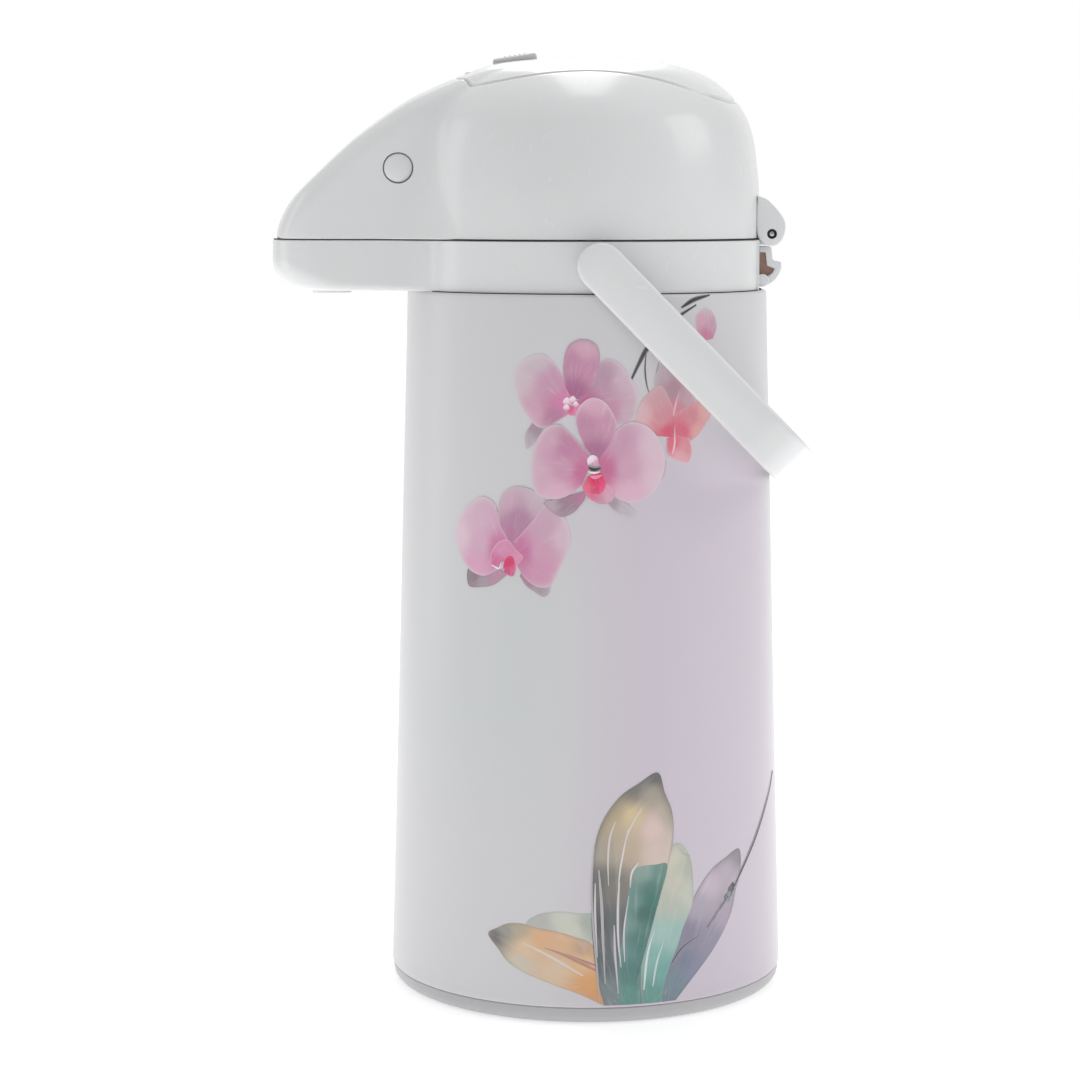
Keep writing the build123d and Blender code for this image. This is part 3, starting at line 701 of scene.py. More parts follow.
def scaled(colour, factor):
    return tuple(min(1.0, channel * factor) for channel in colour)


def worn_roughness(w, shader, marks, rough, smear_share):
    """Roughness that smears and fine scratches raise a little."""
    scratch_share = 0.03
    smeared = w.maths("MULTIPLY_ADD", marks.outputs["Smears"], smear_share, rough)
    scratched = w.maths("MULTIPLY", marks.outputs["Scratches"], scratch_share)
    w.link(w.maths("ADD", smeared, scratched), shader.inputs["Roughness"])


def plastic_material(name, colour, rough, grain, coat=0.0):
    """Moulded plastic: mould texture, flow marks and handling marks."""
    material, w, shader, place = start_material(name)
    skin = add_group(w, moulded_skin_group(), place, Grain_Scale=grain, Flow_Scale=16.0)
    marks = add_group(w, handling_group(), place, Scale=30.0)
    tone = w.mix(skin.outputs["Flow"], scaled(colour, 0.985), scaled(colour, 1.01))
    tone = w.mix(w.maths("MULTIPLY", marks.outputs["Smears"], 0.06), tone, scaled(colour, 0.95))
    w.link(tone, shader.inputs["Base Color"])
    worn_roughness(w, shader, marks, rough, 0.025)
    shader.inputs["IOR"].default_value = 1.49
    shader.inputs["Coat Weight"].default_value = coat
    shader.inputs["Coat Roughness"].default_value = 0.08
    add_bump(w, shader, skin.outputs["Grain"], 0.10, 0.00012)
    return material


def jacket_tone_group():
    """Ground colour of the jacket: pearl white, with a lilac wash on the hinge half and a mint one
    on the spout half, both printed on each broad side."""
    name = "jacket tone"
    if name in bpy.data.node_groups:
        return bpy.data.node_groups[name]
    w, source, result = group_tree(
        name,
        (
            ("Vector", "NodeSocketVector", None),
            ("Base", "NodeSocketColor", (0.7, 0.7, 0.7, 1.0)),
            ("Lilac", "NodeSocketColor", (0.7, 0.62, 0.7, 1.0)),
            ("Mint", "NodeSocketColor", (0.66, 0.7, 0.68, 1.0)),
        ),
        (("Color", "NodeSocketColor"),),
    )
    place = source.outputs["Vector"]
    split = w.node("ShaderNodeSeparateXYZ")
    w.link(place, split.inputs[0])
    height = split.outputs["Z"]
    turn = w.maths("ARCTANGENT", w.maths("DIVIDE", split.outputs["Y"], split.outputs["X"]))
    cloud = w.noise(w.stretch(place, (1, 1, 0.5)), 11.0, 3.0, 0.45)
    drifted = w.maths("ADD", turn, w.maths("MULTIPLY_ADD", cloud, 0.5, -0.25))
    hinge_half = w.product(
        w.ramp(drifted, -0.25, 0.30),
        w.ramp(turn, 1.10, 1.50, 1.0, 0.0),
        w.ramp(height, 0.195, 0.255, 1.0, 0.0),
    )
    spout_half = w.product(
        w.ramp(drifted, -0.35, 0.05, 1.0, 0.0),
        w.ramp(turn, -1.45, -0.9),
        w.ramp(height, 0.06, 0.12),
        w.ramp(height, 0.15, 0.2, 1.0, 0.0),
        w.ramp(cloud, 0.3, 0.6),
    )
    tone = w.mix(hinge_half, source.outputs["Base"], source.outputs["Lilac"])
    w.link(w.mix(spout_half, tone, source.outputs["Mint"]), result.inputs["Color"])
    return w.tree


def jacket_tone(w, place, colours):
    made = w.node("ShaderNodeGroup", node_tree=jacket_tone_group())
    w.link(place, made.inputs["Vector"])
    for label, colour in (("Base", colours.jacket), ("Lilac", colours.lilac), ("Mint", colours.mint)):
        made.inputs[label].default_value = (*colour, 1.0)
    return made.outputs["Color"]


def lacquer(w, shader, place):
    """Satin clear lacquer over paint or print."""
    marks = add_group(w, handling_group(), place, Scale=26.0)
    skin = add_group(w, moulded_skin_group(), place, Grain_Scale=700.0, Flow_Scale=9.0)
    worn_roughness(w, shader, marks, 0.32, 0.03)
    shader.inputs["IOR"].default_value = 1.38
    shader.inputs["Coat Weight"].default_value = 0.12
    shader.inputs["Coat Roughness"].default_value = 0.14
    add_bump(w, shader, skin.outputs["Grain"], 0.05, 0.0001)


def jacket_material(colours):
    """Lacquered steel with the pale ground of the print."""
    material, w, shader, place = start_material("jacket_lacquer")
    w.link(jacket_tone(w, place, colours), shader.inputs["Base Color"])
    lacquer(w, shader, place)
    return material


def print_material(colours):
    """Printed ink under the lacquer: painted tints with fine veins along each petal or leaf."""
    material, w, shader, place = start_material("printed_ink")
    tint = w.node("ShaderNodeAttribute", attribute_name="tint")
    cover = w.node("ShaderNodeAttribute", attribute_name="cover")
    lay = w.node("ShaderNodeAttribute", attribute_name="lay")
    veins = w.noise(w.stretch(lay.outputs["Vector"], (1.2, 1.0, 1.0)), 2.6, 2.0, 0.5)
    wash = w.noise(place, 75.0, 4.0, 0.6)
    tone = w.mix(w.ramp(veins, 0.50, 0.85, 0.0, 0.20), tint.outputs["Color"], (0.88, 0.84, 0.86))
    tone = w.mix(w.ramp(wash, 0.35, 0.75, 0.12, 0.0), tone, (0.42, 0.36, 0.40))
    tone = w.mix(cover.outputs["Fac"], jacket_tone(w, place, colours), tone)
    w.link(tone, shader.inputs["Base Color"])
    lacquer(w, shader, place)
    return material


def steel_material():
    """Drawn stainless steel with fine lengthwise lines."""
    material, w, shader, place = start_material("stainless_steel")
    lines = w.noise(w.stretch(place, (1.0, 30.0, 30.0)), 60.0, 4.0, 0.6)
    marks = add_group(w, handling_group(), place, Scale=60.0)
    w.link(w.mix(lines, (0.52, 0.52, 0.53), (0.66, 0.66, 0.66)), shader.inputs["Base Color"])
    smears = w.maths("MULTIPLY", marks.outputs["Smears"], 0.1)
    w.link(w.maths("ADD", w.ramp(lines, 0.3, 0.7, 0.18, 0.34), smears), shader.inputs["Roughness"])
    shader.inputs["Metallic"].default_value = 1.0
    add_bump(w, shader, lines, 0.15, 0.0001)
    return material


# Makes the real seal rubber and also the near-black painted shade of the seams and hinge holes.
def rubber_and_shade_material(name, colour):
    material, w, shader, place = start_material(name)
    skin = add_group(w, moulded_skin_group(), place, Grain_Scale=1200.0, Flow_Scale=30.0)
    tone = w.mix(skin.outputs["Flow"], scaled(colour, 0.9), scaled(colour, 1.08))
    w.link(tone, shader.inputs["Base Color"])
    w.link(w.ramp(skin.outputs["Grain"], 0.2, 0.8, 0.55, 0.75), shader.inputs["Roughness"])
    add_bump(w, shader, skin.outputs["Grain"], 0.3, 0.0002)
    return material


def silvered_material():
    """Silvered glass with faint ripples from blowing."""
    material, w, shader, place = start_material("silvered_glass")
    ripple = w.noise(w.stretch(place, (1, 1, 3)), 22.0, 3.0, 0.5)
    marks = add_group(w, handling_group(), place, Scale=18.0)
    tone = w.mix(w.ramp(ripple, 0.3, 0.7), (0.80, 0.81, 0.83), (0.90, 0.90, 0.90))
    w.link(tone, shader.inputs["Base Color"])
    w.link(w.ramp(marks.outputs["Smears"], 0, 1, 0.04, 0.10), shader.inputs["Roughness"])
    shader.inputs["Metallic"].default_value = 1.0
    shader.inputs["Coat Weight"].default_value = 1.0
    shader.inputs["Coat Roughness"].default_value = 0.02
    add_bump(w, shader, ripple, 0.2, 0.0006)
    return material


def floor_material():
    material, w, shader, place = start_material("pale_floor")
    mottle = w.noise(place, 6.0, 4.0, 0.5)
    tone = w.mix(w.ramp(mottle, 0.3, 0.7), (0.90, 0.90, 0.90), (0.93, 0.93, 0.93))
    w.link(tone, shader.inputs["Base Color"])
    w.link(w.ramp(mottle, 0.3, 0.7, 0.6, 0.7), shader.inputs["Roughness"])
    shader.inputs["Emission Color"].default_value = (1.0, 1.0, 1.0, 1.0)
    shader.inputs["Emission Strength"].default_value = 0.42
    return material


def finish(name):
    """Material by name, made on first use."""
    if name in bpy.data.materials:
        return bpy.data.materials[name]
    colours = bpy.context.scene.pot_colours
    mouldings = {
        "white_moulding": (colours.plastic, 0.24, 1100.0, 0.25),
        "knob_moulding": (colours.knob, 0.42, 700.0),
        "foot_shade_moulding": (colours.foot, 0.36, 900.0),
        "lever_web_shade_moulding": (colours.lever_web_shade, 0.40, 900.0),
        "inner_moulding": (colours.inner, 0.38, 600.0),
    }
    if name in mouldings:
        return plastic_material(name, *mouldings[name])
    # The first entry is real seal rubber; the second is painted shade for the seams and hinge holes.
    rubbers_and_shade = {"seal_rubber": colours.rubber, "painted_shade_black": colours.seam}
    if name in rubbers_and_shade:
        return rubber_and_shade_material(name, rubbers_and_shade[name])
    others = {
        "jacket_lacquer": lambda: jacket_material(colours),
        "printed_ink": lambda: print_material(colours),
        "stainless_steel": steel_material,
        "silvered_glass": silvered_material,
        "pale_floor": floor_material,
    }
    return others[name]()


# --- Printed flowers ------------------------------------------------------------------------

# Printed shapes lie on the jacket in millimetres: along the girth from the middle of the side
# towards the hinge, and up from the table.
PRINT_LIFT = 0.05
PRINT_STEP = 0.012
PRINT_ROOT = -0.02
PRINT_LOW_Z = 7.7
INK_STRENGTH = 1.16
SPOT_SPREAD = 0.6
SPOT_FALL = 1.6
PETAL_ROWS = 26
PETAL_VEINS = 9.0
LAYER_SHIFT = 3.7
RIM_START = 0.9
RIM_SHARE = 0.6
FADE_START = 0.72


def jacket_radius(z):
    return np.interp(z, (SHELL_LOW_Z, WAIST_Z, SHELL_TOP_Z), (FOOT_R, WAIST_R, SHOULDER_R))


def ink(code):
    """Linear colour of an ink given as a six-digit hexadecimal code."""
    parts = np.array([int(code[i:i + 2], 16) for i in (0, 2, 4)]) / 255
    return np.where(parts < 0.04045, parts / 12.92, ((parts + 0.055) / 1.055) ** 2.4) * INK_STRENGTH


def painted(spots, s, z):
    """Colours spread smoothly between painted spots."""
    total = np.zeros(s.shape)
    colour = np.zeros((*s.shape, 3))
    for spot_s, spot_z, code in spots:
        weight = 1 / ((s - spot_s) ** 2 + (z - spot_z) ** 2 + SPOT_SPREAD) ** SPOT_FALL
        total += weight
        colour += weight[..., None] * ink(code)
    return colour / total[..., None]


class InkSheet:
    """Collects printed shapes and wraps them round the jacket."""

    def __init__(self, facing):
        self.facing = facing
        self.points = []
        self.faces = []
        self.tints = []
        self.covers = []
        self.lays = []
        self.layer = 0

    def wrap(self, s, z, lift):
        angle = s / WAIST_R + self.facing
        radius = jacket_radius(z) + lift
        return np.stack([radius * np.cos(angle), radius * np.sin(angle), z], -1)

    def add(self, s, z, tint, cover, lay):
        """A closed film from a grid: printed face, back in the lacquer, and its rim."""
        z = np.maximum(z, PRINT_LOW_Z)
        rows, columns = s.shape
        lift = PRINT_LIFT + PRINT_STEP * self.layer
        first = len(self.points)
        for height in (lift, PRINT_ROOT):
            self.points.extend(self.wrap(s, z, height).reshape(-1, 3))
            self.tints.extend(tint.reshape(-1, 3))
            self.covers.extend(cover.ravel())
            self.lays.extend(lay.reshape(-1, 3))
        back = first + rows * columns
        for i in range(rows - 1):
            for j in range(columns - 1):
                a = i * columns + j
                quad = (a, a + 1, a + columns + 1, a + columns)
                self.faces.append(tuple(first + k for k in quad))
                self.faces.append(tuple(back + k for k in reversed(quad)))
        rim = list(range(columns))
        rim += [i * columns + columns - 1 for i in range(1, rows)]
        rim += [(rows - 1) * columns + j for j in range(columns - 2, -1, -1)]
        rim += [i * columns for i in range(rows - 2, 0, -1)]
        for a, b in zip(rim, rim[1:] + rim[:1]):
            self.faces.append((first + b, first + a, back + a, back + b))
        self.layer += 1

    def petal(self, base, outline, spots, soft=0.25, rim=None):
        """A petal or leaf that spreads from its base to a smooth outline."""
        edge = flow(outline, 7)
        reach = np.linspace(0, 1, PETAL_ROWS) ** 0.85
        u, v = np.meshgrid(reach, np.linspace(0, 1, len(edge)), indexing="ij")
        base = np.array(base, float)
        place = base + u[..., None] * (edge[None] - base)
        tint = painted(spots, place[..., 0], place[..., 1])
        if rim is not None:
            border = RIM_SHARE * np.clip((u - RIM_START) / (1 - RIM_START), 0, 1)[..., None] ** 2
            tint = tint * (1 - border) + ink(rim) * border
        cover = 1 - soft * np.clip((u - FADE_START) / (1 - FADE_START), 0, 1) ** 2
        lay = np.stack([u, v * PETAL_VEINS, np.full_like(u, LAYER_SHIFT * self.layer)], -1)
        self.add(place[..., 0], place[..., 1], tint, cover, lay)

    def dot(self, s, z, size, spots, soft):
        outline = ((s + size, z), (s, z + size), (s - size, z), (s, z - size), (s + size, z))
        self.petal((s, z), outline, spots, soft)

    def stroke(self, points, start_w, end_w, code, cover=1.0):
        """A brushed line with a paler upper edge."""
        line = flow(points, 10)
        share = np.linspace(0, 1, len(line))
        heading = np.gradient(line, axis=0)
        across = np.stack([-heading[:, 1], heading[:, 0]], -1)
        across /= np.linalg.norm(across, axis=1)[:, None]
        swell = 0.35 + 0.65 * np.sin(pi * share.clip(0.02, 0.98))
        half = 0.5 * (start_w + (end_w - start_w) * share) * swell
        v = np.linspace(-1, 1, 5)
        place = line[:, None] + (half[:, None] * v[None])[..., None] * across[:, None]
        shade = 1 + 0.15 * np.clip(v, 0, 1) ** 2
        tint = ink(code)[None, None] * shade[None, :, None] * np.ones((len(line), 1, 1))
        thin = cover * (1 - 0.7 * v[None] ** 4) * np.ones((len(line), 1))
        self.add(place[..., 0], place[..., 1], tint, thin, np.zeros((len(line), 5, 3)))

    def build(self, name):
        mesh = bpy.data.meshes.new(name)
        mesh.from_pydata([tuple(Vector(p) * MM) for p in self.points], [], self.faces)
        colours = np.hstack([np.array(self.tints).clip(0, 1), np.ones((len(self.tints), 1))])
        for label, kind, key, values in (
            ("tint", "FLOAT_COLOR", "color", colours),
            ("cover", "FLOAT", "value", np.array(self.covers, float)),
            ("lay", "FLOAT_VECTOR", "vector", np.array(self.lays, float)),
        ):
            mesh.attributes.new(label, kind, "POINT").data.foreach_set(key, values.ravel())
        bm = bmesh.new()
        bm.from_mesh(mesh)
        close_up(bm)
        bm.to_mesh(mesh)
        bm.free()
        return finish_object(name, mesh, 60.0)


LIGHT_EDGE = "E2CCD6"
DARK_EDGE = "94707F"


def rear_orchid(sheet):
    """Flower seen behind the front one, at the top of the spray."""
    sheet.petal(
        (-19, 225), ((-22, 225), (-25, 220), (-24, 215), (-20.5, 218), (-17.5, 223)),
        ((-20, 224, "A48C99"), (-24, 217, "B8ABB1")), 0.5,
    )
    sheet.petal(
        (-5, 232),
        ((-2.5, 236), (1.5, 244), (5.5, 248), (10, 247.5), (14.5, 243), (18, 237), (18.2, 230.5),
         (16, 225), (10, 224.5), (4, 227), (-2, 230)),
        ((-2, 233, "BD6F97"), (5, 241, "B995A9"), (14, 241, "CFB2C0"), (8, 229, "C490AA"),
         (15, 228, "C9ABB8")),
        0.3, LIGHT_EDGE,
    )
    sheet.petal(
        (-8, 231.5),
        ((-6.8, 236.5), (-9.5, 240.5), (-11.5, 244), (-15, 248), (-19, 250), (-25, 248), (-29, 244),
         (-29.7, 239), (-27.5, 232.5), (-24, 227), (-19, 223), (-13, 225), (-8, 228)),
        ((-10, 232, "D27FA8"), (-15, 240, "C898B1"), (-27, 240, "D0BBC4"), (-20, 248, "CDBAC3"),
         (-22, 228, "D2A2B8"), (-13, 227, "B87E9C")),
        0.4, LIGHT_EDGE,
    )
    sheet.petal(
        (-6.5, 233),
        ((-9.5, 238.5), (-10.2, 246), (-8.5, 252.5), (-4.5, 255.2), (0, 255), (3.3, 252), (3.6, 246),
         (1.5, 239), (-3.5, 234)),
        ((-6, 236, "A9698D"), (-8, 247, "C088A5"), (-1, 253, "D2A3B7"), (1.5, 244, "C48CA8")),
        0.2, DARK_EDGE,
    )
    sheet.petal(
        (-7, 231), ((-10, 232.5), (-9.5, 229.5), (-7, 227.5), (-4.2, 228.5), (-3.5, 232)),
        ((-7, 230, "D85F8C"), (-5, 229, "DF8FAE")), 0.3,
    )
    for s, z, size in ((-8.6, 232.6, 1.7), (-6.4, 233.2, 1.6), (-8.8, 230.4, 1.4), (-5.2, 231.6, 1.2)):
        sheet.dot(s, z, size, ((s, z + 0.5, "F3DCE7"), (s, z - size, "C884A4")), 0.3)


def front_orchid(sheet):
    """The full flower with the crimson lip."""
    sheet.petal(
        (5, 198), ((6.5, 195.5), (11, 191.5), (16.5, 189.5), (17.2, 192), (12.5, 196), (8, 199)),
        ((7, 196, "A6939D"), (14, 192, "BCB4BA")), 0.9,
    )
    sheet.petal(
        (-1, 200),
        ((-6, 198.6), (-12.5, 196.3), (-17.4, 195.6), (-14, 192), (-10.5, 190.4), (-6, 192),
         (-2, 196.5)),
        ((-3, 198, "B27A98"), (-9, 195, "9E8090"), (-15, 194.6, "B9A3AE"), (-8, 192, "A08794")),
        0.15, DARK_EDGE,
    )
    sheet.petal(
        (4, 207.5),
        ((3.2, 212.8), (6, 217), (9, 220.8), (14.5, 225), (21.5, 223.8), (26.5, 218.7), (29.2, 211),
         (27.5, 203.5), (23, 198), (16, 195.4), (10, 197.6), (5.5, 202.5)),
        ((6, 208, "C5648F"), (12, 217, "C798B0"), (24, 216, "DBBDCB"), (26, 205, "DCBFCB"),
         (15, 199, "DCB2C5"), (14, 208, "CE9FB6")),
        0.3, LIGHT_EDGE,
    )
    sheet.petal(
        (-0.5, 207.5),
        ((0.8, 212.8), (-4, 217.5), (-7, 220.5), (-11.5, 224.2), (-16.5, 223), (-20.2, 218),
         (-21.9, 211), (-21.8, 204), (-20, 198.5), (-14, 196.8), (-8, 198.3), (-3, 202)),
        ((-3, 207, "C56C95"), (-8, 216, "C084A3"), (-17, 219, "D0A5B9"), (-19, 206, "D4ABBE"),
         (-12, 199, "DDB1C5"), (-9, 208, "CA96B0")),
        0.2, LIGHT_EDGE,
    )
    sheet.petal(
        (2.5, 211.5),
        ((-2, 216.5), (-4.6, 222.5), (-5.2, 228), (-3, 232), (1, 234.2), (5.5, 232.7), (9, 228),
         (10.2, 223), (7.5, 217), (4.5, 213)),
        ((2, 213, "A96A8E"), (-2, 224, "C08AA6"), (2, 232, "D6A6BA"), (8, 225, "C992AC")),
        0.15, LIGHT_EDGE,
    )
    sheet.petal(
        (2.5, 202),
        ((-2.4, 200.4), (-0.5, 197.5), (4, 195.2), (8.4, 196.3), (9.3, 200.5), (6.5, 202.6)),
        ((1, 198, "DB6E8F"), (7, 198, "D7A0B4"), (4, 196, "C98CA4")),
        0.2, "B57F96",
    )
    sheet.petal(
        (2.4, 206.6), ((-0.6, 205.3), (-2.6, 201), (0.5, 199.2), (4, 199), (6, 202), (4.8, 206.3)),
        ((2.4, 204, "DB1F5B"), (-1, 201, "E06A86"), (4.6, 201, "E9497F"), (2, 200, "D23C66")), 0.1,
    )
    sheet.stroke(((0.2, 205.4), (2.2, 205.0), (4.6, 205.8)), 1.3, 1.0, "F07FA6")
    sheet.stroke(((-0.4, 208.6), (1.6, 207.8), (4.2, 208.4)), 2.0, 1.6, "2A0D16")
    sheet.stroke(((-0.8, 207.2), (1.4, 206.6), (4.0, 207.0)), 0.8, 0.8, "F6E8EE")
    sheet.petal(
        (1.2, 210.6),
        ((-0.7, 209.4), (-0.9, 211.6), (0.8, 213.2), (2.8, 212.4), (3.3, 210), (1.6, 208.9)),
        ((0.6, 212, "F7E3EC"), (2.6, 210, "D79AB6")),
        0.1,
    )


def low_orchid(sheet):
    """The lower flower, turned to the left."""
    sheet.petal(
        (-34, 170),
        ((-40, 168.5), (-48.5, 170), (-48.6, 163.2), (-42.5, 163), (-37, 164.3), (-32, 168)),
        ((-46, 167, "8B7982"), (-42, 165, "A695A0"), (-36, 167, "B98BA2")),
        0.1, "6E5F68",
    )
    sheet.petal(
        (-25, 171),
        ((-26.5, 168), (-24, 164.6), (-21, 162.6), (-17, 160.6), (-14.8, 163), (-15.5, 168), (-19, 170)),
        ((-18, 163, "A597A0"), (-23, 167, "A57F94"), (-16, 166, "BBA7B2")),
        0.3,
    )
    sheet.petal(
        (-29.5, 178),
        ((-34, 183), (-35.7, 189.5), (-35, 196), (-32, 199.7), (-27, 201.2), (-21, 199.7),
         (-16.3, 195.5), (-19, 189.5), (-24, 183.5)),
        ((-31, 182, "B4779B"), (-32, 196, "C9A4B7"), (-20, 196, "C8AEBB"), (-27, 189, "B2839F")),
        0.35,
    )
    sheet.petal(
        (-28, 176),
        ((-29, 180.5), (-25.2, 184.5), (-20.5, 189.8), (-16, 194.7), (-10.5, 191.7), (-7.3, 185),
         (-7.8, 178), (-11.5, 170.5), (-14.5, 165), (-19.5, 164.3), (-24.5, 167.5), (-28, 172.5)),
        ((-26, 177, "C5729D"), (-17, 187, "CAA2B7"), (-10, 183, "D7B7C6"), (-17, 169, "D095B2"),
         (-18, 178, "CF9CB5")),
        0.3, LIGHT_EDGE,
    )
    sheet.petal(
        (-33.5, 176),
        ((-31.5, 181.5), (-34.3, 186), (-35.5, 190), (-37.5, 194.7), (-43, 196.7), (-49, 193.2),
         (-54.2, 187.5), (-55.8, 180.5), (-53, 174), (-48, 169), (-41.5, 167.3), (-35.5, 170)),
        ((-36, 178, "C878A2"), (-43, 188, "D3AEC1"), (-53, 181, "DCC1CE"), (-46, 171, "D99FBC"),
         (-43, 179, "D2A9BF")),
        0.3, LIGHT_EDGE,
    )
    sheet.petal(
        (-32, 174),
        ((-38, 170), (-38.6, 175), (-35.8, 179.8), (-31.5, 181.2), (-28, 177.8), (-25.2, 175),
         (-27.5, 172), (-29, 167.8), (-33, 168.6)),
        ((-34, 178, "D58FB0"), (-28, 174, "D990B2"), (-36, 172, "CE6E97"), (-31, 171, "C94F80")),
        0.0, "EBC9D8",
    )
    sheet.petal(
        (-30.6, 171.5), ((-33.4, 170.2), (-32.4, 174.2), (-29.5, 175.4), (-28.2, 171.5), (-30, 168.4)),
        ((-31, 172, "D42A64"), (-30, 170, "DE5A88")), 0.1, "E78FB0",
    )
    sheet.stroke(((-38, 171.5), (-35, 170.4), (-34, 172.8)), 0.9, 0.7, "F3DDE7")


def side_orchid(sheet):
    """Coral flower seen from the side."""
    sheet.petal(
        (28, 213), ((27, 210), (26.6, 205.5), (25.2, 202.6), (28.6, 204), (30, 210)),
        ((27, 208, "C5A3AE"), (27, 204, "BFB0B8")), 0.5,
    )
    sheet.petal(
        (33.5, 226),
        ((29, 235), (25, 238.5), (26.5, 244), (30, 248.5), (36, 244), (42, 237), (43, 232),
         (38.5, 228.5)),
        ((29, 243, "BDA9B1"), (33, 236, "B18E9A"), (40, 234, "C3A2AC"), (34, 229, "C98692")),
        0.5,
    )
    sheet.petal(
        (33, 219),
        ((24.5, 220), (18, 225), (19.5, 232), (24, 236.7), (28, 238.2), (31, 234), (34, 227.5)),
        ((20, 228, "DBB2B5"), (26, 234, "CF9CA3"), (28, 226, "D08E98"), (31, 221, "D4566F")), 0.3,
    )
    sheet.petal(
        (34, 220),
        ((33.5, 227.5), (38.5, 230), (45.5, 232.3), (50.7, 227.5), (48, 223.5), (43.5, 219),
         (39.5, 217)),
        ((48, 228, "DDA7A2"), (41, 226, "CF8893"), (37, 221, "D5637A"), (44, 221, "DFA09E")),
        0.25,
    )
    sheet.petal(
        (34.5, 220),
        ((30, 218.5), (30.3, 213), (34.5, 210.3), (39.5, 209.3), (41.2, 213.5), (40, 218.5)),
        ((33, 217, "D76A80"), (36, 212, "DDA3AC"), (39, 215, "D98A95")),
        0.3, "EBD0D4",
    )
    sheet.stroke(((33, 227), (34, 231), (35.7, 236)), 1.3, 0.5, "F0A9B9")
    sheet.stroke(((32.5, 213), (33.5, 217), (33.4, 221)), 1.0, 0.4, "EFC4CC")


def buds_and_stems(sheet):
    sheet.stroke(((37, 266.6), (43, 269.4), (51, 271.0)), 2.2, 1.8, "2E2E2E")
    sheet.stroke(
        ((44, 267.5), (36, 263.5), (27.5, 257.5), (22, 251.5), (19, 246.5), (15.2, 239.2)),
        2.0, 2.4, "353535",
    )
    sheet.stroke(((22, 251), (21.4, 245), (21.9, 239.5), (23.2, 234.6)), 0.9, 0.7, "4A4A4A")
    sheet.stroke(((27.5, 248), (26, 243), (25.4, 238)), 0.5, 0.3, "8A8A86")
    sheet.petal(
        (48.5, 254.3),
        ((44, 258), (44, 263.5), (48.5, 266.4), (52.7, 264.5), (54.6, 259.5), (52.5, 254.8)),
        ((46, 262, "D6A4B7"), (52, 260, "C39BAC"), (49, 256, "C77F9C"), (49, 265, "C9AFBA")),
        0.25, LIGHT_EDGE,
    )


def leaf_spray(sheet):
    """Leaves that fan up from the foot."""
    sheet.petal(
        (0, 30),
        ((2, 34.5), (2, 42), (-3, 42.6), (-9.5, 43.1), (-15, 42.6), (-19.5, 41), (-22.7, 37.3),
         (-15, 30)),
        ((-18, 40, "B4B4AE"), (-9, 41, "C7CBBF"), (0, 39, "A6B1A8"), (-6, 36, "CBCABC")),
        0.15, "A3A79E",
    )
    sheet.petal(
        (5, 15.5),
        ((4, 26), (0.5, 31.5), (-5, 33.7), (-12, 35.7), (-17.5, 36.4), (-24.5, 37.7), (-30, 37.2),
         (-34, 35.2), (-37.8, 32.4), (-33.5, 27), (-29.5, 22.5), (-23, 19), (-15.5, 16.3),
         (-8.5, 13.8), (-2.5, 11.6), (5.5, 7.6)),
        ((-36, 32.5, "4F514F"), (-31, 35, "8F9086"), (-26, 35.5, "B3A58C"), (-23, 29, "DDBE98"),
         (-17, 32, "DDAF82"), (-10, 31, "D9B08A"), (-2, 29, "C2A083"), (-12, 21, "D9BFA2"),
         (0, 16, "D9A066"), (-2, 24, "DDB487"), (-25, 23, "CDC3B0"), (3, 10, "D39A62")),
        0.1, "8E8676",
    )
    sheet.stroke(((-16, 29.2), (-9.5, 27), (-3, 24), (4, 20.2)), 1.1, 2.6, "B97C4E", 0.9)
    sheet.stroke(((-8, 27.2), (-2.5, 24.8), (4, 22.4)), 0.7, 1.6, "A5663C", 0.8)
    sheet.stroke(((-24, 30.5), (-14, 26), (-2, 19)), 0.8, 1.2, "EBD3AE", 0.4)
    sheet.petal(
        (28.8, 7.7),
        ((25.5, 7.6), (27.5, 14), (30, 21.5), (33, 28.5), (36, 36), (39.5, 44.5), (43, 50),
         (48.5, 55.5), (55.5, 58.8), (63.4, 60.9), (64, 52.5), (61, 45.5), (58.5, 38), (54, 31),
         (48.5, 24.5), (42.5, 18.5), (37, 13), (32, 7.6)),
        ((62, 59, "8F8A90"), (55, 54, "B3A6B2"), (48, 50, "C0B3BE"), (42, 42, "A9A0AF"),
         (38, 33, "878196"), (54, 40, "A89DAB"), (46, 28, "8E8A9C"), (36, 22, "747E90"),
         (32, 14, "6F8590"), (40, 18, "83859A"), (33, 9, "6A8288")),
        0.05, "6E6A76",
    )
    sheet.stroke(((42.5, 31.3), (35, 27.5), (30.2, 21.5)), 0.5, 1.5, "2F3440", 0.9)
    sheet.stroke(((41, 29), (35.5, 26), (31, 21.5)), 0.4, 1.0, "4C5260", 0.8)
    sheet.petal(
        (22.8, 7.7),
        ((19, 7.6), (19, 22.5), (23.5, 39), (25.5, 47.5), (28.5, 55.5), (29.5, 61.5), (31, 66.4),
         (34.5, 66.9), (37.5, 63.4), (39.2, 59), (39.8, 51.5), (39.7, 44.5), (36.7, 38), (33, 28.5),
         (30, 21.5), (27.5, 14), (26.5, 7.6)),
        ((33, 64, "C6C5B2"), (38, 57, "AFB6A4"), (33, 52, "C1BFB0"), (31, 43, "B3B8AC"),
         (28, 35, "9DBDB5"), (33, 33, "96B8B2"), (23, 24, "7FAFA8"), (27, 20, "6FA59D"),
         (23, 11, "5F968C"), (38, 48, "BFC3B6")),
        0.05, "9DA598",
    )
    sheet.stroke(((34, 65.5), (36, 63), (38.6, 62)), 0.4, 0.7, "8D9288", 0.8)
    sheet.stroke(((23.8, 35), (21.2, 26), (19.8, 13)), 0.5, 1.2, "D5E2DC", 0.8)
    sheet.stroke(((27.8, 31.5), (24.8, 23), (23.2, 14)), 0.4, 1.0, "BFD8D2", 0.7)
    big_leaf(sheet)
    knotted_stem(sheet)


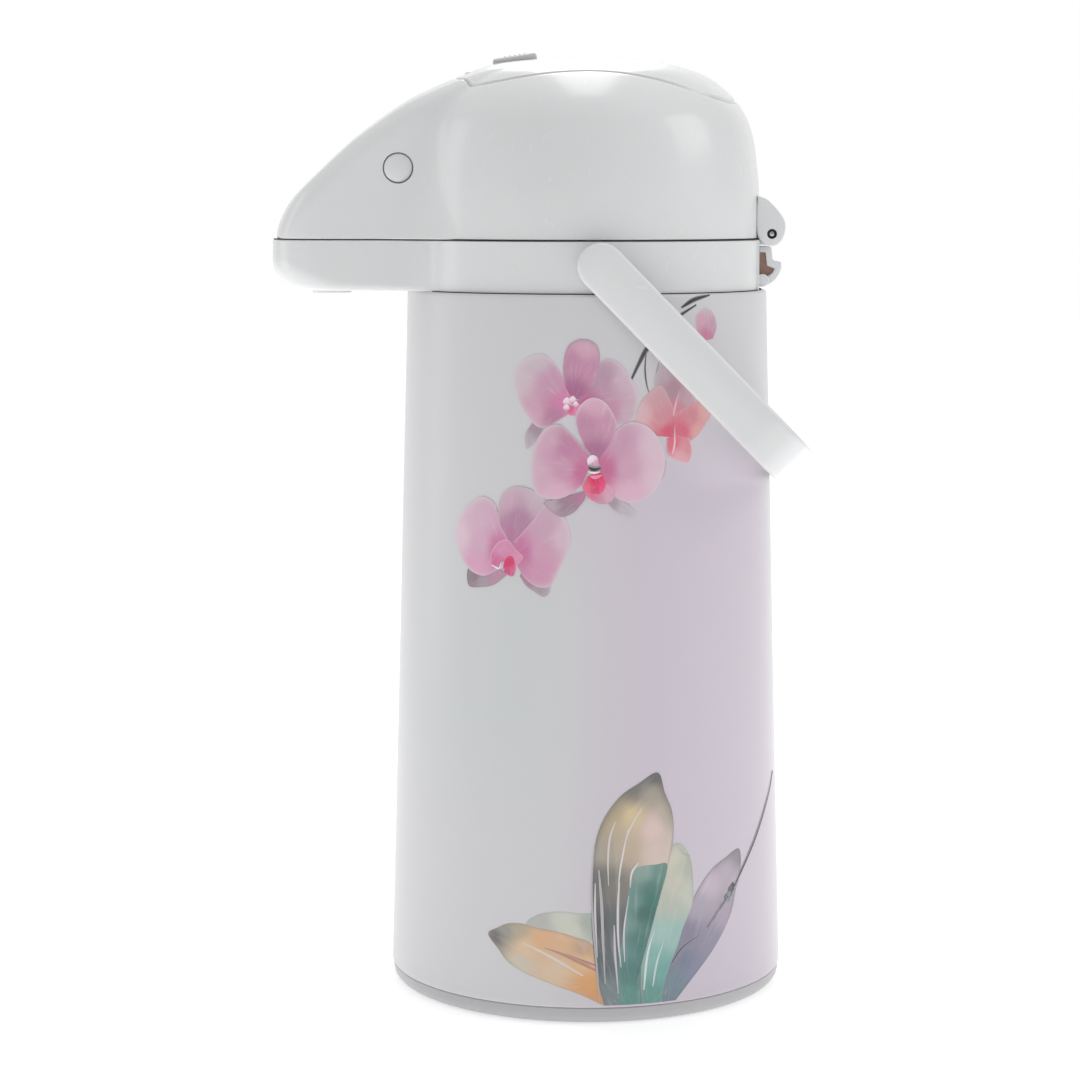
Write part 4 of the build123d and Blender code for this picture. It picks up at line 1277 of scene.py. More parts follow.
def big_leaf(sheet):
    """Tall leaf with a dark tip and a teal fold."""
    sheet.petal(
        (12.2, 7.7),
        ((5.5, 7.6), (2.5, 21), (1, 38), (1, 53.5), (2, 67.5), (5, 77.5), (11, 86), (18, 90.8),
         (25.6, 94.6), (28.3, 87), (31.2, 79.5), (31.7, 70.5), (29.5, 59.5), (25.5, 47.5),
         (22.5, 36.5), (19.5, 27.5), (18.5, 17.5), (19, 7.6)),
        ((25, 93, "616161"), (17, 88, "7F7C74"), (23, 87, "A09A8A"), (9, 81, "B5A485"),
         (16, 79, "D1BD95"), (24, 74, "D9C0BA"), (29, 78, "B5AB9C"), (14, 67, "BBAA92"),
         (24, 64, "CFBDB2"), (6, 66, "A79F90"), (4, 55, "6A6B67"), (9, 53, "77776F"),
         (4, 38, "4E5455"), (8, 38, "5F6868"), (6, 24, "5C6868"), (9, 12, "748382")),
        0.0, "5C605E",
    )
    sheet.petal(
        (14.6, 7.7),
        ((10.8, 7.6), (10.7, 23), (12.5, 37), (14, 49), (16, 57.3), (18.5, 59.7), (24.5, 60.1),
         (29.2, 59.3), (25.3, 47.5), (22.3, 36.5), (19.3, 27.5), (18.3, 17.5), (18.5, 7.6)),
        ((27, 58, "5A8579"), (20, 58, "7D9C91"), (23, 50, "3F7569"), (20, 42, "3B6A60"),
         (16, 46, "5F8C82"), (14, 38, "6E918A"), (18, 32, "42786E"), (12.5, 28, "5B8883"),
         (15, 20, "487C74"), (14, 11, "5A8E85")),
        0.1,
    )
    for points, width, code, cover in (
        (((11, 54), (10.4, 45.5), (10.5, 32.5), (11.5, 22)), 1.0, "D8DCD4", 0.34),
        (((9, 38), (9.4, 26.5), (10.5, 12)), 0.9, "B9C4C0", 0.32),
        (((2.2, 54), (2.2, 42), (3, 26)), 0.9, "C3C8C4", 0.34),
        (((14.2, 74), (12.5, 66), (11, 57), (10.5, 47)), 0.8, "F0EBD6", 0.4),
        (((19.5, 82), (15, 74.5), (12.8, 68)), 0.8, "EADDBC", 0.34),
        (((18, 61.2), (15.5, 57.5), (14.8, 52)), 0.9, "EDEFE4", 0.4),
        (((9.5, 77), (7.5, 71), (6.8, 62.5), (7, 53)), 0.9, "DCCDA6", 0.32),
        (((3.9, 8.2), (2.9, 21), (1.5, 38), (1.0, 53.5), (2, 67)), 0.8, "3F4444", 0.34),
        (((3.5, 59), (4.5, 46), (5, 32.5), (5.8, 16)), 1.2, "565C5C", 0.32),
        (((12.8, 24), (12.6, 36), (14.4, 49)), 0.8, "C6D8D2", 0.32),
    ):
        sheet.stroke(points, width, width * 0.7, code, cover)


def knotted_stem(sheet):
    """Thin stem that bends down to the right-hand leaf."""
    sheet.stroke(
        ((96, 85), (91, 79.6), (84, 73), (74.5, 63), (66, 54), (59.5, 46.5)),
        0.7, 1.5, "2C2C2E",
    )
    for s, z, size, code in (
        (58.2, 46.2, 1.7, "5D6666"), (57.2, 44.3, 1.5, "8A9593"), (59.2, 47.6, 1.1, "4A5252"),
        (55.6, 43.6, 1.1, "6F7A7A"), (56.6, 42.6, 0.9, "98A19F"),
    ):
        sheet.dot(s, z, size, ((s, z, code), (s + size, z, "3E4646")), 0.2)
    sheet.stroke(((55.5, 43), (50.5, 38.2), (46, 33.6)), 0.9, 0.5, "3A3C42")
    sheet.stroke(((53.4, 41.8), (49.6, 37), (47, 34.6)), 0.5, 0.8, "5A5A64", 0.8)


# --- Operators ------------------------------------------------------------------------------


class PieceOperator:
    """Shared behaviour: one operator makes one piece or one group of like pieces."""

    bl_options = {"REGISTER", "UNDO"}

    def execute(self, context):
        self.make(context.scene.pot_sizes)
        return {"FINISHED"}


EAR_SIDE = (
    (65.0, 307.6), (68.4, 306.2), (71.0, 303.9), (73.2, 301.4), (74.9, 298.9), (75.6, 296.4), (75.6, 294.2),
    (74.7, 291.3), (73.0, 289.2), (70.8, 288.4), (68.4, 288.8), (66.6, 290.2), (65.0, 292.6), (64.6, 300.0),
)
EAR_IN_X = 9.5
EAR_OUT_X = 16.0
EAR_ROUND = 0.7
PIN_SINK_R = 1.9
PIN_SINK_X = 13.8
BUTTON_HOLE_R = 5.85


class POT_OT_lid(PieceOperator, bpy.types.Operator):
    """Dome, nose and rear ears of the lid"""

    bl_idname = "pot.lid"
    bl_label = "Lid Cover"

    def make(self, sizes):
        shell = new_object("lid_top", [solid_from_rows(lid_rows(headings(400)), close_rows=True)])
        notch = block((-EAR_IN_X, 55, 280), (EAR_IN_X, 80, 299))
        holes = [side_rod(BUTTON, BUTTON_HOLE_R, side, 20, 30) for side in (1, -1)]
        cut(shell, [notch, *holes])
        outline = [tuple(point) for point in flow(EAR_SIDE + EAR_SIDE[:1], 5)[:-1]]
        ears = []
        for _, side in SIDES:
            ears.append(prism(outline, *sorted((side * EAR_IN_X, side * EAR_OUT_X)), offset=EAR_ROUND))
        lugs = new_object("lid_ears", ears)
        cut(lugs, [side_rod(HINGE, PIN_SINK_R, side, PIN_SINK_X, EAR_OUT_X + 0.6) for _, side in SIDES])
        merge_into(shell, lugs)
        settle(shell, "lid", "white_plastic", finish("white_moulding"), "lid_cover")


def merge_into(target, other):
    """Adds another object's shells to a piece."""
    bm = bmesh.new()
    bm.from_mesh(target.data)
    bm.from_mesh(other.data)
    bm.to_mesh(target.data)
    bm.free()
    bpy.data.objects.remove(other)
    target.data.shade_smooth()
    target.data.set_sharp_from_angle(angle=radians(35))
    return target


def track_frame():
    return Matrix.Translation((0, TRACK_Y, TRACK_Z)) @ Matrix.Rotation(TRACK_SLOPE, 4, "X")


def on_track(solid):
    frame_matrix = track_frame()
    return [tuple(frame_matrix @ Vector(p)) for p in solid[0]], solid[1]


class POT_OT_press_plate(PieceOperator, bpy.types.Operator):
    """Oval plate that is pushed down to pump"""

    bl_idname = "pot.press_plate"
    bl_label = "Press Plate"

    def make(self, sizes):
        plate = new_object("press_top", [solid_from_rows(plate_rows(headings(400)))])
        pocket_w, pocket_l, floor_t, lap = 7.8, 14.0, 2.2, 1.6
        cut(plate, [on_track(block((-pocket_w, -pocket_l, 0), (pocket_w, pocket_l, 9)))])
        floor = on_track(block((-pocket_w - lap, -15.5, -floor_t), (pocket_w + lap, 15.5, 0.0), 0.3))
        boss_in, boss_out, boss_low, boss_top = 8, 12, 347.6, 356.5
        ring = ((boss_in, boss_low), (boss_out, boss_low), (boss_out, boss_top), (boss_in, boss_top))
        boss = turned(ring, 64)
        merge_into(plate, new_object("pocket_floor", [floor, boss]))
        settle(plate, "press", "white_plastic", finish("white_moulding"), "press_plate")


class POT_OT_lock_knob(PieceOperator, bpy.types.Operator):
    """Sliding lock with finger ridges"""

    bl_idname = "pot.lock_knob"
    bl_label = "Lock Knob"

    def make(self, sizes):
        grip = block((-6.5, -4.5, 0.2), (6.5, 12.5, 3.6), 1.2)
        neck = block((-2.7, 1.2, -3.2), (2.7, 6.8, 1.0), 0.2)
        keeper = block((-6, -7, -5.0), (6, 7, -2.7), 0.4)
        ridge_pitch, ridge_w = 1.9, 0.9
        ridges = []
        for row in range(5):
            y = ridge_pitch * row
            ridges.append(block((-4.8, y, 3.0), (4.8, y + ridge_w, 3.95), 0.3))
        solids = [on_track(solid) for solid in (grip, neck, keeper, *ridges)]
        knob = new_object("lock_slider", solids)
        settle(knob, "lock", "grey_plastic", finish("knob_moulding"), "lock_knob")


class POT_OT_collar(PieceOperator, bpy.types.Operator):
    """Shoulder ring with the lower nose, hinge knuckle and handle bosses"""

    bl_idname = "pot.collar"
    bl_label = "Collar"

    def rows(self, angles):
        """Section rows: crest, outside, skirt inside the jacket, deck and inside."""
        wall, deck_t, deck_in_r, skirt_z = 2.2, 2.5, 41, 262
        centre = (0.0, 0.0, COLLAR_TOP_Z)
        level = np.zeros(len(angles))
        low = level - atan2(COLLAR_TOP_Z - CHIN_Z, COLLAR_R)
        inner_low = level - atan2(COLLAR_TOP_Z - CHIN_Z - wall, COLLAR_R - wall)
        crest = fan(collar_distance, centre, angles, level, level, 1, 0.5)[0]
        outside = fan(collar_distance, centre, angles, level - 0.005, low, 44, 0)
        for row in outside:
            row[:, 2] = np.maximum(row[:, 2], CHIN_Z)
        inside = fan(collar_distance, centre, angles, inner_low, level, 30, wall)
        plan = bearing(angles)
        skirt_r, inner_r = COLLAR_R - 0.05, COLLAR_R - wall
        skirt = [(skirt_r, CHIN_Z), (skirt_r, skirt_z), (inner_r, skirt_z), (inner_r, DECK_Z - deck_t)]
        skirt += [(deck_in_r, DECK_Z - deck_t), (deck_in_r, DECK_Z), (inner_r, DECK_Z)]
        return [crest] + outside + [at_height(plan * r, z) for r, z in skirt] + inside

    def side_pieces(self, side):
        """Lever lug and its arm, handle boss and latch catch on one side."""
        lug_r, lug_in_x, lug_out_x, arm_half = 2.4, 9.4, 12, 2.3
        boss_r, boss_in_x, boss_out_x = 7.5, 64.2, 70.7
        catch_in_x, catch_out_x, catch_half, catch_low_z, catch_top_z = 21.5, 24.6, 5, 284.6, 287.0
        lug = side_rod(LEVER, lug_r, side, lug_in_x, lug_out_x + 0.3, 0.4)
        low, high = (63, LEVER.z - arm_half), (LEVER.y, LEVER.z + arm_half)
        arm = side_block(side, lug_in_x, lug_out_x, low, high, 0.3)
        boss = side_rod(HANDLE, boss_r, side, boss_in_x, boss_out_x, 0.6)
        low, high = (BUTTON.y - catch_half, catch_low_z), (BUTTON.y + catch_half, catch_top_z)
        return [lug, arm, boss, side_block(side, catch_in_x, catch_out_x, low, high, 0.3)]

    def make(self, sizes):
        ring = new_object("collar_shell", [solid_from_rows(self.rows(headings(360)), close_rows=True)])
        recess = block((-18, 65.4, SHELL_TOP_Z), (18, 90, 300))
        spout = post(0, -99, 6.2, 262, 279)
        cut(ring, [recess, spout])
        knuckle_x, knuckle_r = 9, 4.4
        web = [(62, 288.8), (HINGE.y, 288.7), (HINGE.y, 292), (66.3, 292), (66.3, 290.7), (62, 290.7)]
        extras = [
            block((-19, 61.5, 267), (19, 65.5, COLLAR_TOP_Z - 0.1), 0.2),
            prism(web, -knuckle_x, knuckle_x, 0.3),
            rod_x(HINGE, knuckle_r, -knuckle_x, knuckle_x, 0.5),
        ]
        for _, side in SIDES:
            extras += self.side_pieces(side)
        merge_into(ring, new_object("collar_extras", extras))
        settle(ring, "pot", "white_plastic", finish("white_moulding"), "collar")


class POT_OT_seams(PieceOperator, bpy.types.Operator):
    """Near-black strips of painted shade, seen as thin lines in the lid seam and round the shoulder"""

    bl_idname = "pot.seams"
    bl_label = "Seam Liners"

    def make(self, sizes):
        angles = headings(360)
        level = np.zeros(len(angles))
        outer, inner = (
            fan(collar_distance, (0.0, 0.0, COLLAR_TOP_Z), angles, level - 0.01, level, 1, inset)[0]
            for inset in (0.4, 1.7)
        )
        low, high = COLLAR_TOP_Z - 0.35, COLLAR_TOP_Z + 0.3
        rows = [at_height(outer, low), at_height(outer, high), at_height(inner, high), at_height(inner, low)]
        # Painted shade: a near-black strip in the gap between lid and collar stands for the shade in the seam.
        shade_strip = new_object("lid_seam_shade", [solid_from_rows(rows, close_rows=True)])
        settle(shade_strip, "pot", "rubber", finish("painted_shade_black"))
        # Painted shade: a near-black band where the collar meets the jacket stands for the shadow in that joint.
        in_r, out_r = COLLAR_R - 0.4, COLLAR_R + 0.5
        low, high = SHELL_TOP_Z - 0.2, SHELL_TOP_Z + 0.35
        section = [(in_r, low), (out_r, low), (out_r, high), (in_r, high)]
        band = new_object("shoulder_shade", [turned(section)])
        settle(band, "pot", "rubber", finish("painted_shade_black"))


class POT_OT_jacket(PieceOperator, bpy.types.Operator):
    """Tapered steel jacket and the moulded foot under it"""

    bl_idname = "pot.jacket"
    bl_label = "Jacket and Foot"

    def make(self, sizes):
        wall, low_round, top_round = 0.6, 1.1, 1.2
        low, top = SHELL_LOW_Z, SHELL_TOP_Z
        outline = [(FOOT_R - 2.6, low)]
        for a in np.linspace(pi / 2, 0, 6):
            outline.append((FOOT_R - low_round + low_round * cos(a), low + low_round - low_round * sin(a)))
        outline += [(float(jacket_radius(z)), float(z)) for z in np.linspace(low + 3, top - 3, 40)]
        for a in np.linspace(0, pi / 2, 7):
            rise = top_round * sin(a)
            outline.append((SHOULDER_R - top_round + top_round * cos(a), top - top_round + rise))
        outline += [(COLLAR_R, top), (COLLAR_R, top - wall), (SHOULDER_R - 1.4, top - wall)]
        outline += [(SHOULDER_R - wall, top - 2), (WAIST_R - wall, WAIST_Z)]
        outline += [(FOOT_R - wall, low + 1.6), (FOOT_R - 2.6, low + wall)]
        jacket = new_object("jacket", [turned(outline, 256)])
        settle(jacket, "pot", "printed_steel", finish("jacket_lacquer"), "outer_shell")
        self.make_foot()

    def make_foot(self):
        rim, round_r = FOOT_R - 0.5, 4.8
        top, socket_r, socket_z, floor_z, inner_r = SHELL_LOW_Z - 0.05, FOOT_R - 3.2, 15, 9, 66
        foot = [(inner_r, 0), (rim - round_r, 0)]
        for a in np.linspace(0.1, pi / 2, 10):
            foot.append((rim - round_r + round_r * sin(a), round_r - round_r * cos(a)))
        foot += [(rim, 6.1), (rim - 0.3, top), (socket_r, top), (socket_r, socket_z)]
        foot += [(70, socket_z), (70, floor_z), (inner_r, floor_z)]
        ring = new_object("foot_ring", [turned(foot, 256)])
        # Painted shade: the foot ring takes the darker foot colour for the shade on its band.
        settle(ring, "pot", "white_plastic", finish("foot_shade_moulding"), "base_ring")


class POT_OT_print(PieceOperator, bpy.types.Operator):
    """Orchid spray and leaves printed on both broad sides of the jacket"""

    bl_idname = "pot.print"
    bl_label = "Printed Flowers"

    def make(self, sizes):
        for name, facing in (("right", 0.0), ("left", pi)):
            flowers = InkSheet(facing)
            for draw in (buds_and_stems, side_orchid, rear_orchid, low_orchid, front_orchid):
                draw(flowers)
            leaves = InkSheet(facing)
            leaf_spray(leaves)
            for sheet, label in ((flowers, "orchids"), (leaves, "leaves")):
                made = sheet.build(f"printed_{label}_{name}")
                settle(made, "pot", "printed_steel", finish("printed_ink"))


# Degrees below level at which the handle rests.
HANDLE_DROP = 45.7


class POT_OT_handle(PieceOperator, bpy.types.Operator):
    """Flat bail with rounded edges"""

    bl_idname = "pot.handle"
    bl_label = "Carrying Handle"

    def centre_line(self):
        """(distance from the pivot, sideways, thickness, half width) down one arm and across."""
        half_w, arm_x, arm_t, corner_t, grip_t = 8.65, 74.2, 6.0, 5.8, 5.4
        arm_end, grip_u, grip_bow, grip_half = 86, 108.1, 7.5, 56.0
        stations = []
        for a in np.linspace(pi / 2, 0, 9):
            stations.append((-half_w * sin(a), arm_x, arm_t, max(half_w * cos(a), 0.02)))
        for u in np.linspace(6, arm_end, 22):
            stations.append((u, arm_x, arm_t, half_w))
        bend = ((arm_end, arm_x), (92.2, 72.6), (96.6, 68.2), (98.8, 63.0), (100.6, grip_half))
        stations += [(u, x, corner_t, half_w) for u, x in flow(bend, 6)[1:]]
        for x in np.linspace(52, 0, 16):
            stations.append((grip_u - grip_bow * (x / grip_half) ** 2, x, grip_t, half_w))
        mirrored = [(u, -x, t, w) for u, x, t, w in reversed(stations[:-1])]
        return stations + mirrored

    def section(self, thick, half_w, crown, round_edge):
        """Rounded rectangle; the inner face of the grip is slightly crowned."""
        r = min(round_edge, thick / 2 - 0.01, half_w)
        points = []
        for corner, (sx, sy) in enumerate(((1, 1), (-1, 1), (-1, -1), (1, -1))):
            for a in np.linspace(0, pi / 2, 5):
                turn = a + corner * pi / 2
                points.append((sx * (thick / 2 - r) + r * cos(turn), sy * (half_w - r) + r * sin(turn)))
        middle = [(-thick / 2 - crown * (1 - q * q), q * (half_w - r)) for q in (0.6, 0.2, -0.2, -0.6)]
        return points[:10] + middle + points[10:]

    def make(self, sizes):
        drop = radians(HANDLE_DROP)
        along = np.array((0, cos(drop), -sin(drop)))
        side = np.array((1.0, 0, 0))
        width = np.array((0, sin(drop), cos(drop)))
        line = self.centre_line()
        path = np.array([(u, x) for u, x, _, _ in line])
        heading = np.gradient(path, axis=0)
        heading /= np.linalg.norm(heading, axis=1)[:, None]
        origin = np.array(HANDLE)
        rows = []
        for (u, x, thick, half_w), (du, dx) in zip(line, heading):
            outward = along * -dx + side * du
            crown = 0.4 * np.clip((u - 98) / 8, 0, 1)
            middle = origin + along * u + side * x
            section = self.section(thick, half_w, crown, sizes.strap_round / MM)
            rows.append([middle + outward * p + width * q for p, q in section])
        bail = new_object("carrying_handle", [solid_from_rows(rows)], 40.0)
        settle(bail, "handle", "white_plastic", finish("white_moulding"), "handle")


LEVER_SIDE = (
    (66.4, 285.9), (66.4, 288.2), (70.6, 288.1), (71.1, 287.0), (71.3, 283.4), (72.2, 282.6), (74.7, 282.2),
    (74.8, 280.0), (74.2, 278.0), (72.5, 275.4), (69.8, 273.4), (67.4, 272.8), (66.0, 273.8), (65.9, 276.6),
    (67.4, 277.2), (69.4, 276.6), (71.3, 277.9), (72.2, 279.6), (69.2, 280.8), (68.7, 285.9),
)
LEVER_WEB = (
    (66.3, 287.0), (69.6, 287.0), (70.0, 281.7), (73.6, 281.0), (73.4, 278.6), (71.4, 275.6), (69.0, 274.1),
    (66.6, 273.8),
)


class POT_OT_lever(PieceOperator, bpy.types.Operator):
    """Open loop below the hinge that frees the lid, with a web inside coloured tan as painted shade and
    reflection, and the hinge pin above it
    """

    bl_idname = "pot.lever"
    bl_label = "Detaching Lever and Hinge Pin"

    def make(self, sizes):
        loop_x, web_x = 8.9, 7.4
        loop = new_object("detach_loop", [prism(LEVER_SIDE, -loop_x, loop_x, 0.3)])
        settle(loop, "lever", "white_plastic", finish("white_moulding"), "detach_lever")
        # Painted shade and reflection: the web is coloured tan for the shade and brown reflection seen inside the
        # loop.
        inside = new_object("lever_web_shade", [prism(LEVER_WEB, -web_x, web_x)])
        settle(inside, "lever", "white_plastic", finish("lever_web_shade_moulding"))
        pin_r, pin_x, tip_r, tip_x = 1.5, 13.5, 0.95, 15.7
        ends = [side_rod(HINGE, tip_r, side, 13.0, tip_x, 0.3) for _, side in SIDES]
        pin = new_object("turned_pin", [rod_x(HINGE, pin_r, -pin_x, pin_x), *ends])
        settle(pin, "pot", "steel", finish("stainless_steel"), "hinge_pin")
        # Painted shade: near-black rings in the pin sinks of the ears stand for the dark inside of the hinge holes
        # round the pin ends.
        hole_shade_r, hole_shade_in_x, hole_shade_out_x = 1.88, 13.9, 15.0
        rings = [side_rod(HINGE, hole_shade_r, side, hole_shade_in_x, hole_shade_out_x) for _, side in SIDES]
        settle(new_object("hinge_hole_shade", rings), "lid", "rubber", finish("painted_shade_black"))


class POT_OT_buttons(PieceOperator, bpy.types.Operator):
    """Domed release buttons"""

    bl_idname = "pot.buttons"
    bl_label = "Release Buttons"

    def make(self, sizes):
        crown, rim, low, flange_r, flange_z = 26.1, 5.45, 21.3, 6.7, 22.9
        profile = []
        for a in np.linspace(0, pi / 2, 12):
            profile.append((rim * sin(a), crown - 0.9 * (1 - cos(a)) ** 2 - 0.25 * sin(a) ** 2))
        profile += [(rim, flange_z), (flange_r, flange_z), (flange_r, low), (0, low)]
        for name, side in SIDES:
            body = f"button_{name}"
            points, faces = turned(profile, 72)
            placed = [(side * p[2], BUTTON.y + p[0], BUTTON.z + p[1]) for p in points]
            button = new_object(body, [(placed, faces)])
            settle(button, body, "white_plastic", finish("white_moulding"), f"release_button_{name}")


class POT_OT_bellows(PieceOperator, bpy.types.Operator):
    """Corrugated pump wall"""

    bl_idname = "pot.bellows"
    bl_label = "Bellows"

    def make(self, sizes):
        folds, out_r, in_r, wall = 6, 40.9, 35.2, 1.2
        z = np.linspace(BELLOWS_LOW_Z + 0.1, BELLOWS_TOP_Z - 0.1, folds * 12 + 1)
        wave = 0.5 + 0.5 * np.cos(2 * pi * folds * (z - z[0]) / (z[-1] - z[0]))
        outer = in_r + (out_r - in_r) * wave**0.8
        radii = np.concatenate([outer, outer[::-1] - wall]).tolist()
        heights = np.concatenate([z, z[::-1]]).tolist()
        pump = new_object("pump_bellows", [turned(list(zip(radii, heights)), 128)])
        pump.data.materials.append(finish("inner_moulding"))
        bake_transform(pump)
        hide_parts("bellows")


def node_tree_inputs(tree, specs):
    for label, kind, default in specs:
        socket = tree.interface.new_socket(name=label, in_out="INPUT", socket_type=kind)
        socket.default_value = default


def spring_tree():
    """Coil spring along Z with named sizes, made plain and given its material."""
    tree = bpy.data.node_groups.new("coil spring", "GeometryNodeTree")
    node_tree_inputs(
        tree,
        (("Turns", "NodeSocketFloat", 6.0), ("Coil Radius", "NodeSocketFloat", 0.026),
         ("Height", "NodeSocketFloat", 0.045), ("Wire Radius", "NodeSocketFloat", 0.0009)),
    )
    tree.interface.new_socket(name="Material", in_out="INPUT", socket_type="NodeSocketMaterial")
    tree.interface.new_socket(name="Geometry", in_out="OUTPUT", socket_type="NodeSocketGeometry")
    w = Wiring(tree)
    source, result = w.node("NodeGroupInput"), w.node("NodeGroupOutput")
    helix = w.node("GeometryNodeCurveSpiral")
    helix.inputs["Resolution"].default_value = 24
    w.link(source.outputs["Turns"], helix.inputs["Rotations"])
    w.link(source.outputs["Coil Radius"], helix.inputs["Start Radius"])
    w.link(source.outputs["Coil Radius"], helix.inputs["End Radius"])
    w.link(source.outputs["Height"], helix.inputs["Height"])
    wire = w.node("GeometryNodeCurvePrimitiveCircle")
    wire.inputs["Resolution"].default_value = 10
    w.link(source.outputs["Wire Radius"], wire.inputs["Radius"])
    skin = w.node("GeometryNodeCurveToMesh")
    skin.inputs["Fill Caps"].default_value = True
    w.link(helix.outputs["Curve"], skin.inputs["Curve"])
    w.link(wire.outputs["Curve"], skin.inputs["Profile Curve"])
    finish_tree(w, source, skin.outputs["Mesh"], result)
    return tree


def finish_tree(w, source, geometry, result):
    real = w.node("GeometryNodeRealizeInstances")
    dress = w.node("GeometryNodeSetMaterial")
    w.link(geometry, real.inputs["Geometry"])
    w.link(real.outputs["Geometry"], dress.inputs["Geometry"])
    w.link(source.outputs["Material"], dress.inputs["Material"])
    w.link(dress.outputs["Geometry"], result.inputs["Geometry"])


def grow(name, tree, values, carrier=None):
    """Runs a geometry tree on an object and keeps the result as a plain mesh."""
    mesh = carrier or bpy.data.meshes.new(name)
    made = bpy.data.objects.new(name, mesh)
    bpy.context.scene.collection.objects.link(made)
    modifier = made.modifiers.new("grow", "NODES")
    modifier.node_group = tree
    for item in tree.interface.items_tree:
        if item.in_out == "INPUT" and item.name in values:
            modifier[item.identifier] = values[item.name]
    return plain_mesh(made, 40.0)


def coil(name, tree, coil_r, height, wire_r):
    values = {
        "Turns": 6.0,
        "Coil Radius": coil_r * MM,
        "Height": height * MM,
        "Wire Radius": wire_r * MM,
        "Material": finish("stainless_steel"),
    }
    return grow(name, tree, values)


class POT_OT_springs(PieceOperator, bpy.types.Operator):
    """Bellows spring and the two latch springs"""

    bl_idname = "pot.springs"
    bl_label = "Springs"

    def make(self, sizes):
        tree = spring_tree()
        low, high = BELLOWS_LOW_Z - 0.4, BELLOWS_TOP_Z - 1.2
        main = coil("pump_spring", tree, 26.0, high - low, 0.9)
        main.data.transform(Matrix.Translation((0, 0, low * MM)))
        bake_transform(main)
        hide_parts("bellows_spring")
        for name, side in SIDES:
            self.make_latch_coil(tree, name, side)

    def make_latch_coil(self, tree, name, side):
        near_x, span = 2.6, 15.2
        small = coil(f"latch_coil_{name}", tree, 3.4, span, 0.45)
        turn = Matrix.Rotation(side * pi / 2, 4, "Y")
        place = Matrix.Translation((side * near_x * MM, BUTTON.y * MM, BUTTON.z * MM))
        small.data.transform(place @ turn)
        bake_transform(small)
        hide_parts(f"latch_spring_{name}")


def screw_tree():
    """Round-head screws on the points of the carrier mesh."""
    tree = bpy.data.node_groups.new("lid screws", "GeometryNodeTree")
    tree.interface.new_socket(name="Geometry", in_out="INPUT", socket_type="NodeSocketGeometry")
    node_tree_inputs(
        tree,
        (("Head Radius", "NodeSocketFloat", 0.0028), ("Head Height", "NodeSocketFloat", 0.0016),
         ("Shank Radius", "NodeSocketFloat", 0.0015), ("Shank Length", "NodeSocketFloat", 0.0085)),
    )
    tree.interface.new_socket(name="Material", in_out="INPUT", socket_type="NodeSocketMaterial")
    tree.interface.new_socket(name="Geometry", in_out="OUTPUT", socket_type="NodeSocketGeometry")
    w = Wiring(tree)
    source, result = w.node("NodeGroupInput"), w.node("NodeGroupOutput")
    join = w.node("GeometryNodeJoinGeometry")
    for radius, depth, sign in (("Head Radius", "Head Height", -0.5), ("Shank Radius", "Shank Length", 0.5)):
        drum = w.node("GeometryNodeMeshCylinder")
        drum.inputs["Vertices"].default_value = 32
        w.link(source.outputs[radius], drum.inputs["Radius"])
        w.link(source.outputs[depth], drum.inputs["Depth"])
        shift = w.node("ShaderNodeCombineXYZ")
        w.link(w.maths("MULTIPLY", source.outputs[depth], sign), shift.inputs["Z"])
        move = w.node("GeometryNodeTransform")
        w.link(drum.outputs["Mesh"], move.inputs["Geometry"])
        w.link(shift.outputs["Vector"], move.inputs["Translation"])
        w.link(move.outputs["Geometry"], join.inputs["Geometry"])
    spread = w.node("GeometryNodeInstanceOnPoints")
    w.link(source.outputs["Geometry"], spread.inputs["Points"])
    w.link(join.outputs["Geometry"], spread.inputs["Instance"])
    finish_tree(w, source, spread.outputs["Instances"], result)
    return tree


class POT_OT_screws(PieceOperator, bpy.types.Operator):
    """Four screws that hold the lid's closing plate"""

    bl_idname = "pot.screws"
    bl_label = "Lid Screws"

    def make(self, sizes):
        carrier = bpy.data.meshes.new("screw_points")
        seat_z = 292.0
        places = [(side * x, y, seat_z) for x, y in ((41, 45), (14, -99)) for side in (1, -1)]
        carrier.from_pydata([tuple(Vector(p) * MM) for p in places], [], [])
        screws = grow("plate_screws", screw_tree(), {"Material": finish("stainless_steel")}, carrier)
        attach(screws, "lid")
        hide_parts("lid_screws")


class POT_OT_inner_pieces(PieceOperator, bpy.types.Operator):
    """Finishes for the pieces that keep their CAD shape"""

    bl_idname = "pot.inner_pieces"
    bl_label = "Inner Pieces"

    def make(self, sizes):
        finishes = {
            "white_plastic": "white_moulding", "inner_plastic": "inner_moulding", "rubber": "seal_rubber",
            "silvered_glass": "silvered_glass", "steel": "stainless_steel", "grey_plastic": "knob_moulding",
            "printed_steel": "jacket_lacquer",
        }
        for row in frame["record"]["subparts"]:
            node = NODES[row["node"]]
            if node.hide_render:
                continue
            material = finish(finishes[row["material_slot"]])
            if not node.material_slots:
                node.data.materials.append(material)
            for slot in node.material_slots:
                slot.material = material


